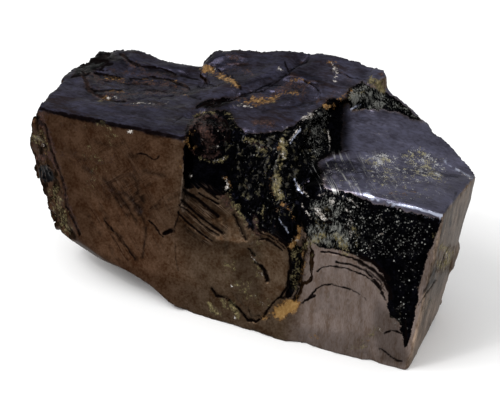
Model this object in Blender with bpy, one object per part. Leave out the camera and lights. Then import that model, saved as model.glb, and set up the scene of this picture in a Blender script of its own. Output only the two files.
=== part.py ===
"""Shungite stone, one natural lump about 100 mm long. Metres, +Z up.

The lump broke out of its seam along joints, so its main form is a few blocks bounded by flat cleavages.
Shell-shaped flakes came off those blocks, and the crumbly faces are stepped and pitted.
The origin is the centre of the foot's bounding box. +X runs along the length to the east end, and
the broad front cleavage faces -Y.
"""

import math

import bmesh
import bpy
import numpy as np
from mathutils import Vector, kdtree, noise

MM = 0.001

# Driving dimensions, in millimetres.
FRONT_FOOT_Y = -20.5  # where the front cleavage meets the ground
FRONT_LEAN = 0.17  # how far it leans back for each millimetre of height
GRAIN = 0.55  # voxels that the rough lump is rebuilt from
BASE = -0.5  # how low the blocks reach: below zero is worn away, so that the stone rests flat
FOOT_ROUGHNESS = 0.03  # bumps on the foot up to this height are worn away with it
TRIANGLES = 9400  # facets of the finished stone


def front(x, z, back=0.0):
    """A point on the front cleavage, or set back from it."""
    return (x, FRONT_FOOT_Y + FRONT_LEAN * z + back, z)


# Corners of the convex blocks.
WEST_BLOCK = [
    front(-41.7, 39.3),
    front(-5.9, 39.2),
    front(-31.0, 11.0),
    front(-24.1, 8.6),
    front(-16.4, 6.4),
    front(-12.5, 4.7),
    front(-8.6, 1.9),
    front(-5.9, 0.6, 0.4),
    (-43.5, -8.3, 40.0),
    (-44.9, -1.5, 40.6),
    (-44.6, 3.4, 41.9),
    (-44.2, 9.7, 42.0),
    (-43.0, 15.5, 42.2),
    (-39.5, 18.5, 42.2),
    (-18.8, 18.5, 41.2),
    (-6.5, 18.5, 41.0),
    (-49.8, -8.0, 27.2),
    (-49.4, -7.5, 23.0),
    (-44.4, -11.5, 14.2),
    (-41.3, -13.0, 9.3),
    (-37.5, -14.5, 8.6),
    (-47.5, 10.5, 25.0),
    (-44.0, 14.5, 8.0),
    (-38.5, 4.5, BASE),
    (-39.5, 11.0, BASE),
    (-33.5, 15.5, BASE),
    (-8.5, -15.0, BASE),
    (-6.5, 17.5, BASE),
]
MIDDLE_BLOCK = [
    front(-7.5, BASE, 1.6),
    front(26.5, BASE, -0.3),
    front(-7.5, 13.0),
    front(24.5, 15.0),
    front(-7.5, 27.0, 2.0),
    front(24.5, 25.0, 1.2),
    (-6.5, -7.0, 39.0),
    (4.0, -6.0, 39.5),
    (12.0, -3.5, 39.5),
    (20.5, -1.0, 34.0),
    (-7.5, 19.5, 38.0),
    (22.5, 19.5, 38.0),
    (-7.5, 17.5, BASE),
    (22.5, 16.5, BASE),
]
CROWN = [
    (-10.0, -2.5, 39.6),
    (-6.5, -7.0, 39.0),
    (4.0, -6.0, 39.5),
    (12.0, -3.5, 39.5),
    (13.3, 1.5, 41.0),
    (16.5, 6.5, 42.5),
    (19.8, 10.4, 44.0),
    (24.5, 15.5, 46.3),
    (26.9, 19.0, 47.0),
    (23.0, 20.3, 48.3),
    (17.0, 20.6, 48.9),
    (2.0, 20.5, 48.6),
    (-9.7, 20.4, 46.6),
    (-15.8, 20.2, 45.3),
    (-18.3, 19.4, 42.2),
    (-16.5, 15.0, 42.8),
    (-15.5, 20.5, 30.0),
    (27.1, 19.5, 30.0),
    (-5.5, -4.5, 30.0),
    (16.5, -0.5, 30.0),
]
EAST_SLAB = [
    front(14.5, BASE, 0.2),
    front(33.0, BASE, -0.8),
    (46.4, -20.2, BASE),
    front(14.5, 24.0),
    front(47.5, 22.0, 0.6),
    (49.2, -14.3, 33.5),
    (49.8, 9.7, 32.3),
    (47.1, 8.2, 12.0),
    (45.9, 3.7, BASE),
    (32.0, -13.7, 33.9),
    (19.5, -12.3, 32.5),
    (18.5, 1.5, 33.8),
    (34.5, 15.5, 33.8),
    (18.5, 15.5, 33.8),
    (34.5, 17.5, 14.0),
    (18.5, 17.5, BASE),
    (36.5, 9.5, BASE),
]
EAST_RAMP = [
    (19.1, 13.0, 39.7),
    (21.5, 0.5, 34.2),
    (49.8, 9.7, 32.4),
    (41.9, 11.6, 33.4),
    (34.5, 17.8, 38.4),
    (29.7, 18.5, 41.6),
    (27.8, 18.7, 43.4),
    (19.5, 18.5, 43.5),
    (34.5, 18.5, 20.0),
    (18.5, 18.5, 20.0),
    (18.5, 3.5, 25.0),
    (44.5, 7.5, 25.0),
]
BLOCKS = [WEST_BLOCK, MIDDLE_BLOCK, CROWN, EAST_SLAB, EAST_RAMP]


# Shell-shaped flakes: (centre, radius, lowest x it reached, deepest it bit).
# The stone keeps what is outside the sphere.
EVERYWHERE = -100.0
FLAKES = [
    ((4.0, -30.5, 35.5), 22.0, -5.8, 20.0),  # the hollow under the crown's front edge
    ((7.5, -2.0, 64.0), 22.0, EVERYWHERE, 2.0),  # the crown's front shell
    ((5.0, 0.5, 54.3), 12.2, EVERYWHERE, 2.0),  # a smaller shell inside it
    ((-7.0, 8.0, 69.0), 25.0, EVERYWHERE, 2.0),
    ((20.5, 8.5, 63.0), 18.0, EVERYWHERE, 1.2),
    ((-24.0, -24.0, -20.5), 27.8, EVERYWHERE, 20.0),  # under the front, to the west
    ((-26.0, 52.0, 22.0), 37.5, EVERYWHERE, 20.0),  # the back
    ((12.0, 50.0, 14.0), 36.0, EVERYWHERE, 20.0),
    ((-6.0, 36.0, 34.0), 19.5, EVERYWHERE, 20.0),
    ((-72.0, 8.0, 19.0), 27.5, EVERYWHERE, 20.0),  # the west end
    ((66.0, 38.0, 12.0), 34.0, EVERYWHERE, 20.0),  # the north-east corner
]

# Paths over the surface, west to east or top to bottom.
CROWN_CRACK = [
    (-10.5, -6.0, 39.0),
    (-6.0, 0.2, 41.0),
    (-2.4, 5.1, 43.0),
    (3.1, 11.3, 45.5),
    (7.0, 19.0, 48.0),
]
EAST_GULLY = [
    (20.5, 9.5, 42.5),
    (16.5, 1.5, 38.0),
    (16.3, -4.0, 35.0),
    (17.6, -9.7, 31.5),
    (20.0, -14.0, 28.0),
    (21.0, -16.6, 23.0),
    (22.3, -17.5, 18.0),
    (21.5, -18.3, 13.0),
    (19.8, -19.2, 8.0),
]
FOOT_CRACK = [
    (6.5, -19.2, 8.0),
    (9.5, -19.7, 4.8),
    (12.5, -20.0, 3.0),
    (15.5, -19.8, 4.0),
    (18.0, -19.3, 7.0),
]

# Ribs round the point of a blow: (centre, first, last, spacing, height, middle of the patch, its radius)
RIBS = ((8.7, -3.6, 39.9), 20.0, 29.0, 1.7, 0.25, (0.0, -15.8, 24.5), 7.0)

# Nested shells on the tops: (centre x, centre y, half length, half width, turn in degrees, lowest z,
# direction of the sharp side in degrees, how much of the step is left on the far side, (edge, drop) steps).
TOP_SHELLS = [
    (-25.5, 6.0, 15.0, 8.2, 17.0, 36.0, 100.0, 0.55, [(1.0, 0.8), (0.74, 0.6), (0.45, 0.5)]),
    (5.5, 5.5, 9.5, 6.5, 20.0, 39.0, 75.0, 0.0, [(1.0, 1.1), (0.55, -0.8)]),
    (-9.0, 11.5, 8.0, 6.0, -10.0, 39.0, 130.0, 0.0, [(1.0, 1.0), (0.6, 0.7)]),
    (17.0, 14.5, 8.0, 5.5, 30.0, 39.0, 60.0, 0.0, [(1.0, 0.9)]),
]

# Shell edges on the east front: radius from the foot of the shell, and the drop inwards.
EAST_SHELL_FOOT = (31.0, 2.5)
EAST_SHELLS = [(15.4, 0.3), (14.3, 0.3), (13.2, 0.3), (10.2, 0.25)]


def joined_blocks():
    """The blocks as one mesh object; they overlap, and rebuild() fuses them."""
    shape = bmesh.new()
    for corners in BLOCKS:
        points = [shape.verts.new(Vector(corner) * MM) for corner in corners]
        hull = bmesh.ops.convex_hull(shape, input=points)
        spare = [v for v in hull["geom_interior"] if isinstance(v, bmesh.types.BMVert)]
        bmesh.ops.delete(shape, geom=spare, context="VERTS")
    bmesh.ops.recalc_face_normals(shape, faces=shape.faces)
    mesh = bpy.data.meshes.new("shungite_stone")
    shape.to_mesh(mesh)
    shape.free()
    stone = bpy.data.objects.new("shungite_stone", mesh)
    bpy.context.scene.collection.objects.link(stone)
    return stone


def settle(stone):
    """Makes the object's modifiers permanent."""
    graph = bpy.context.evaluated_depsgraph_get()
    mesh = bpy.data.meshes.new_from_object(stone.evaluated_get(graph))
    stone.modifiers.clear()
    stone.data = mesh


def rebuild(stone, voxel):
    """Fuses what overlaps into one skin of even quads."""
    remesh = stone.modifiers.new("grain", "REMESH")
    remesh.mode = "VOXEL"
    remesh.voxel_size = voxel * MM
    settle(stone)


class Skin:
    """The stone's points and normals as arrays in millimetres, while it is worked."""

    def __init__(self, stone):
        self.mesh = stone.data
        count = len(self.mesh.vertices)
        flat = np.empty(count * 3, np.float32)
        self.mesh.vertices.foreach_get("co", flat)
        self.points = flat.reshape(-1, 3).astype(float) / MM
        self.refresh()

    def refresh(self):
        """Writes the points back to the mesh and reads its new normals."""
        self.mesh.vertices.foreach_set("co", (self.points * MM).astype(np.float32).ravel())
        self.mesh.update()
        flat = np.empty(len(self.points) * 3, np.float32)
        self.mesh.vertex_normals.foreach_get("vector", flat)
        self.normals = flat.reshape(-1, 3).astype(float)

    def push(self, depth):
        """Moves each point along its normal: outwards where depth is positive."""
        self.points += self.normals * depth[:, None]


def ease(value, low, high):
    """0 below low, 1 above high, and a smooth step between them."""
    share = np.clip((value - low) / (high - low), 0.0, 1.0)
    return share * share * (3.0 - 2.0 * share)


def near(points, centre, radius, soft):
    """1 within radius of the centre, falling to 0 over the soft distance."""
    return 1.0 - ease(np.linalg.norm(points - np.array(centre), axis=1), radius, radius + soft)


def distance_to(points, path):
    """How far each point is from a path of straight runs."""
    best = np.full(len(points), np.inf)
    for start, end in zip(path, path[1:]):
        start, run = np.array(start), np.array(end) - np.array(start)
        share = np.clip((points - start) @ run / (run @ run), 0.0, 1.0)
        best = np.minimum(best, np.linalg.norm(points - start - share[:, None] * run, axis=1))
    return best


def swell(points, size, seed):
    """Soft noise from -1 to 1 that changes over this many millimetres."""
    shift = Vector((seed * 7.3, seed * 3.1, seed * 5.7))
    return np.array([noise.noise(Vector(p) / size + shift) for p in points]) * 1.4


def facets(points, size, seed):
    """Broken relief from about -1 to 1: each cell of the rock is one small tilted face."""
    rng = np.random.default_rng(seed)
    low, high = points.min(axis=0) - size, points.max(axis=0) + size
    axes = [np.arange(a, b, size) for a, b in zip(low, high)]
    cells = np.stack(np.meshgrid(*axes, indexing="ij"), axis=-1).reshape(-1, 3)
    cells = cells + rng.uniform(-0.48, 0.48, cells.shape) * size
    tilts = rng.normal(0.0, 0.55, cells.shape)
    levels = rng.uniform(-0.5, 0.5, len(cells))
    tree = kdtree.KDTree(len(cells))
    for number, cell in enumerate(cells):
        tree.insert(cell, number)
    tree.balance()
    cell = np.array([tree.find(p)[1] for p in points])
    return levels[cell] + ((points - cells[cell]) * tilts[cell]).sum(axis=1) / size


def strike_flakes(skin):
    """Presses the surface back to each flake's sphere, as a shell that sprang off leaves it."""
    for centre, radius, reach, bite in FLAKES:
        arm = skin.points - np.array(centre)
        length = np.linalg.norm(arm, axis=1)
        struck = (length < radius) & (length > radius - bite) & (skin.points[:, 0] > reach)
        skin.points[struck] += arm[struck] * (radius / length[struck] - 1.0)[:, None]
    skin.refresh()


def step_tops(skin):
    """Nested shells on the tops, stepping down inwards, their edges wandering."""
    wander = 0.13 * swell(skin.points, 5.0, 1) + 0.06 * swell(skin.points, 1.8, 2)
    top = ease(skin.normals[:, 2], 0.5, 0.8)
    depth = np.zeros(len(top))
    for x, y, half_length, half_width, turn, lowest, sharp, left, steps in TOP_SHELLS:
        c, s = math.cos(math.radians(turn)), math.sin(math.radians(turn))
        across = skin.points[:, :2] - np.array((x, y))
        oval = across @ np.array([[c, -s], [s, c]]) / np.array((half_length, half_width))
        toward = across @ np.array((math.cos(math.radians(sharp)), math.sin(math.radians(sharp))))
        oval = np.linalg.norm(oval, axis=1) + wander
        slope = left + (1.0 - left) * ease(toward / half_width, -1.0, 1.0)
        for edge, drop in steps:
            depth += drop * slope * (1.0 - ease(oval, edge - 0.06, edge)) * (skin.points[:, 2] > lowest)
    skin.push(-depth * top)
    skin.refresh()


def raise_ribs(skin):
    """Ripples round the point of the blow: each rises slowly and drops sharply."""
    centre, first, last, spacing, height, where, reach = RIBS
    away = np.linalg.norm(skin.points - np.array(centre), axis=1)
    phase = away / spacing + 0.25 * swell(skin.points, 6.0, 3)
    saw = phase - np.floor(phase)
    ridge = ease(saw, 0.0, 0.75) * (1.0 - ease(saw, 0.8, 1.0))
    band = ease(away, first - 1.0, first) * (1.0 - ease(away, last, last + 1.5))
    skin.push(height * ridge * band * near(skin.points, where, reach, 4.0))
    skin.refresh()


def bow_east_front(skin):
    """Bends the east front back above and to the east, and steps down to the shells in its middle."""
    points = skin.points
    behind = points[:, 1] - FRONT_FOOT_Y - FRONT_LEAN * points[:, 2]
    facing = (1.0 - ease(behind, 1.0, 9.0)) * ease(points[:, 0], 19.0, 23.0)
    away = np.hypot(points[:, 0] - EAST_SHELL_FOOT[0], points[:, 2] - EAST_SHELL_FOOT[1])
    back = np.minimum(0.11 * np.maximum(away - 14.5, 0.0), 1.8)
    away = away + 0.5 * swell(points, 7.0, 7)
    for edge, drop in EAST_SHELLS:
        back += drop * (1.0 - ease(away, edge - 0.5, edge))
    points[:, 1] += back * facing
    skin.refresh()


def cut_paths(skin):
    """The gully, the crack over the crown and the crack at the foot."""
    wander = 0.7 * swell(skin.points, 4.0, 4) + 0.4 * swell(skin.points, 1.6, 8)
    for path, width, depth in (
        (CROWN_CRACK, 1.7, 1.3),
        (EAST_GULLY, 2.2, 1.7),
        (FOOT_CRACK, 1.1, 0.8),
    ):
        share = 1.0 - ease(distance_to(skin.points, path) + wander, 0.0, width)
        skin.push(-depth * share)
    skin.refresh()


def roughen(skin):
    """Crumbly faces, lumps and the slow waves that no cleavage is without."""
    points, normals = skin.points, skin.normals
    flank = ease(-normals[:, 0], 0.25, 0.5)
    back = ease(normals[:, 1], 0.2, 0.6) * (1.0 - ease(points[:, 2], 38.0, 43.0))
    crumbly = np.maximum(flank, back)
    hollow = near(points, (9.5, -8.0, 31.0), 7.0, 3.0)
    scarp = near(points, (24.0, 13.0, 41.5), 3.0, 3.0) + near(points, (17.0, 1.0, 38.0), 3.0, 3.0)
    crown = ease(normals[:, 2], 0.5, 0.8) * (points[:, 2] > 38.0)
    bump = near(points, (47.5, 7.0, 12.5), 1.5, 2.5)
    rim = near(points, (-40.0, 15.5, 42.0), 4.0, 4.0) + near(points, (-34.0, 18.0, 41.5), 1.0, 3.0)
    lump = near(points, (-3.6, -8.5, 37.5), 1.5, 3.0)
    ramp = near(points, (41.5, 12.0, 35.5), 3.0, 9.0) * ease(normals[:, 2], 0.3, 0.6)
    large, medium = facets(points, 11.0, 10), facets(points, 7.0, 14)
    coarse, fine = facets(points, 5.0, 11), facets(points, 2.4, 12)
    wave = 0.25 * swell(points, 14.0, 5) + 0.08 * swell(points, 5.0, 6)
    skin.push(
        wave
        + crumbly * (0.75 * large + 0.45 * coarse + 0.18 * fine)
        + hollow * (0.55 * fine + 0.45 * coarse)
        + scarp * 0.5 * fine
        + crown * (1.0 - flank) * (0.30 * medium + 0.13 * fine)
        + rim * (0.5 + 0.35 * fine)
        + lump * (1.6 + 0.5 * fine)
        + bump * (0.7 + 0.4 * fine)
        - ramp * 1.5
    )
    skin.refresh()


def chip_edges(skin):
    """Small bites along the foot of the front."""
    low = (1.0 - ease(skin.points[:, 2], 1.0, 5.0)) * (skin.points[:, 1] < -8.0)
    bite = ease(facets(skin.points, 3.0, 13), 0.1, 0.9)
    skin.push(-0.55 * low * bite)
    skin.refresh()


def wear_foot(skin):
    """Flattens the lowest part, then sets the origin under the middle of the stone."""
    points = skin.points
    points[points[:, 2] < FOOT_ROUGHNESS, 2] = 0.0
    middle = (points[:, :2].min(axis=0) + points[:, :2].max(axis=0)) / 2.0
    points[:, :2] -= middle
    skin.refresh()


def thin_out(stone):
    """Leaves the facets where the form needs them."""
    count = sum(len(face.vertices) - 2 for face in stone.data.polygons)
    decimate = stone.modifiers.new("facets", "DECIMATE")
    decimate.ratio = TRIANGLES / count
    settle(stone)


def shungite():
    """Black, with the half-metallic gloss of a fresh break."""
    material = bpy.data.materials.new("shungite")
    material.use_nodes = True
    shader = material.node_tree.nodes["Principled BSDF"]
    shader.inputs["Base Color"].default_value = (0.030, 0.026, 0.026, 1.0)
    shader.inputs["Roughness"].default_value = 0.32
    shader.inputs["Metallic"].default_value = 0.6
    return material


def build():
    for old in list(bpy.data.objects):
        bpy.data.objects.remove(old)
    stone = joined_blocks()
    rebuild(stone, GRAIN)
    strike_flakes(Skin(stone))
    rebuild(stone, GRAIN)
    skin = Skin(stone)
    for work in (step_tops, raise_ribs, bow_east_front, cut_paths, roughen, chip_edges):
        work(skin)
    rebuild(stone, GRAIN)
    wear_foot(Skin(stone))
    thin_out(stone)
    wear_foot(Skin(stone))
    stone.data.materials.append(shungite())
    stone.data.shade_smooth()
    stone.data.set_sharp_from_angle(angle=math.radians(30))


build()
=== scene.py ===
"""Dresses the shungite stone: fine relief, gloss, mineral stains, painted reflections, shade and glints, a plain pale
stage.

Lengths are in metres in the scene and in millimetres while the skin is worked. Places on the side that faces
the camera are named in the camera's frame, which is 500 wide and 412 high, from its top left corner.
"""

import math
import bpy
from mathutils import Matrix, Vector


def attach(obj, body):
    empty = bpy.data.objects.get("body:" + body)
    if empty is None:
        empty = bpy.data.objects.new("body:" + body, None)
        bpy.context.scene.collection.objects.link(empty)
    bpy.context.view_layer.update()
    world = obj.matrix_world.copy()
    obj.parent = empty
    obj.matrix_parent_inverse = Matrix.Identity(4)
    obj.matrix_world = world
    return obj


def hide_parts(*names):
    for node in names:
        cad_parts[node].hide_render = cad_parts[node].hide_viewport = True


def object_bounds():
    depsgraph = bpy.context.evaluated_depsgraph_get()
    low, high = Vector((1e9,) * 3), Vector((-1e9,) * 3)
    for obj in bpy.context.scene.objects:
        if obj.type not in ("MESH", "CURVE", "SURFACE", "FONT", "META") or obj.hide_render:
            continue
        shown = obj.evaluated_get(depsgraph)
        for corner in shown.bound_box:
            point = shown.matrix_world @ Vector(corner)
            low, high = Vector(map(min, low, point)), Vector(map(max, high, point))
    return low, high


bl_info = {
    "name": "Shungite Stone",
    "version": (1, 0, 0),
    "blender": (4, 5, 0),
    "location": "View3D > Sidebar > Shungite",
    "description": "Gives the shungite stone its relief, gloss and stains, and sets up a plain stage",
    "category": "Object",
}

import bmesh
import bpy
import numpy as np
from bpy.props import FloatProperty, FloatVectorProperty, IntProperty, PointerProperty
from mathutils import Matrix, Vector, kdtree, noise
from mathutils.bvhtree import BVHTree

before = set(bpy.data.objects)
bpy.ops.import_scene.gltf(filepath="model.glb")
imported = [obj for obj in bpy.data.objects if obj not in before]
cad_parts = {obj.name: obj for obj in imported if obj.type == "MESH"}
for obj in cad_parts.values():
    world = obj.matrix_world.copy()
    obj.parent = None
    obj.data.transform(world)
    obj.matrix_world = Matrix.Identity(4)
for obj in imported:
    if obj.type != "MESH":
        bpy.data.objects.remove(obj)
CAD_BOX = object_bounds()

MM = 0.001

# The solid's points that are this close, in metres, are one point.
MERGE_DISTANCE = 0.000002
# A point that is this far behind the skin, in millimetres, still counts as shown.
SIGHT_SLACK = 0.6
# How often the skin is smoothed between its edges, how sharp a turn counts as an edge, and how often the ramp is
# levelled.
RELAX_ROUNDS, RELAX_SHARPNESS = 6, 0.02
LEVEL_ROUNDS = 600

# The cells that broken ground is made of: (size in mm, seed, how they are drawn together along each axis).
LARGE_CELLS = (1.7, 41, (1.25, 1.0, 0.75))
SMALL_CELLS = (0.70, 42, (1.3, 1.0, 0.8))
PLATE_CELLS = (2.0, 45, (0.45, 0.9, 1.0))
FLANK_CELLS = (4.2, 46)

# Soft noises over the skin: (size in mm, seed).
GRAIN_SWELL = (0.9, 43)
FLANK_SWELL = (2.2, 47)
PATCHES = (4.0, 51)
SPOTS = (1.2, 52)
CALM_PATCHES = (11.0, 53)
# How drawn edges are shaken: (size in mm, reach in the frame, seeds across and down).
SHAKES = ((1.6, 1.5, (21, 22)), (0.7, 0.9, (23, 24)))

# How high these cells and swells stand, and how deep the ribs are cut, in millimetres.
LARGE_CELL_RELIEF = 0.34
SMALL_CELL_RELIEF = 0.15
PLATE_RELIEF = 0.07
FLANK_CELL_RELIEF = 0.60
FLANK_SWELL_RELIEF = 0.35
GRAIN_RELIEF = 0.035
RIB_DEPTH = 0.25

# How softly areas end, in the camera's frame.
FIRM_EDGE, SOFT_EDGE, WIDE_EDGE = 4.0, 5.0, 6.0

# Where one face or tone gives way to the next, in millimetres along the stone or up it.
MIDDLE_FRONT = (-16.0, 4.0)
SHELF_START = (10.0, 14.0)
EAST_SHELL = (19.0, 25.0)
EAST_TOP = (10.0, 30.0)
END_FOOT = (7.0, 13.0)
LOW_FRONT = (2.0, 26.0)
PLATES_ABOVE = 36.0
# The lowest that the tops reach, west and east of the middle.
TOPS_ABOVE = (37.0, 29.5)
# How much paler the foot of the front and of the east end are.
LOW_FRONT_GAIN, END_FOOT_GAIN = 0.16, 0.8

# Where the material gives way to the east shell's grain, and where its streaks turn pale, in metres.
SHELL_GRAIN = (0.018, 0.026)
PALE_STREAKS = (0.019, 0.026)
# How far crumbs are bent out of round, and how deep the bump is, in metres.
CRUMB_BEND = 0.00018
BUMP_DEPTH = 0.00018
PLAIN_ROUGHNESS = 0.40

# The grain of each kind of face: how it is drawn out along each axis, its broad and its fine swells to the metre, and
# how its tone drifts to dark and to light.
FACE_GRAINS = {
    "front": {"Broad": 330.0, "Fine": 2000.0, "Dark": (0.60, 0.49, 0.40, 1.0), "Light": (1.42, 1.52, 1.66, 1.0)},
    "shell": {
        "Stretch": (1.7, 1.0, 0.45),
        "Broad": 400.0,
        "Fine": 2400.0,
        "Dark": (0.74, 0.67, 0.60, 1.0),
        "Light": (1.20, 1.24, 1.30, 1.0),
    },
    "flank": {"Broad": 300.0, "Fine": 1300.0, "Dark": (0.22, 0.17, 0.15, 1.0), "Light": (2.4, 2.5, 2.6, 1.0)},
    "end": {
        "Stretch": (1.8, 1.8, 0.45),
        "Broad": 300.0,
        "Fine": 1500.0,
        "Dark": (0.32, 0.25, 0.19, 1.0),
        "Light": (1.70, 1.74, 1.80, 1.0),
    },
    "top": {"Stretch": (0.30, 0.8, 1.0), "Broad": 520.0, "Fine": 2600.0},
    "black": {"Broad": 500.0, "Fine": 2600.0, "Dark": (0.5, 0.5, 0.5, 1.0), "Light": (3.2, 3.2, 3.4, 1.0)},
}
# How the tops drift, in the west and in the east.
TOP_DARKS = ((0.56, 0.50, 0.48, 1.0), (0.66, 0.64, 0.64, 1.0))
TOP_LIGHTS = ((1.45, 1.52, 1.66, 1.0), (1.28, 1.30, 1.36, 1.0))

# Stains from the lowest to the one on top: (tones in the settings, grains to the metre, how fully they cover).
CRUSTS = (
    ("rust_tones", 2400.0, 0.85),
    ("olive_tones", 2300.0, 0.90),
    ("ochre_tones", 2200.0, 0.95),
    ("pale_tones", 3000.0, 0.95),
)

# The lights: (place, width), in metres.
KEY_LIGHT = ((-0.30, -0.25, 0.50), 0.35)
GLINT_LIGHT = ((-0.22, -0.28, 0.48), 0.05)
FLOOR_ROUGHNESS = 0.8

# The camera, in degrees and millimetres.
VIEW_AZIMUTH = 25.0
VIEW_ELEVATION = 28.0
VIEW_LENS = 80.0
VIEW_SENSOR = 36.0
VIEW_DISTANCE = 241.0
VIEW_TARGET = (4.432, -4.676, 21.0)
FRAME_WIDTH = 500
FRAME_HEIGHT = 412
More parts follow.
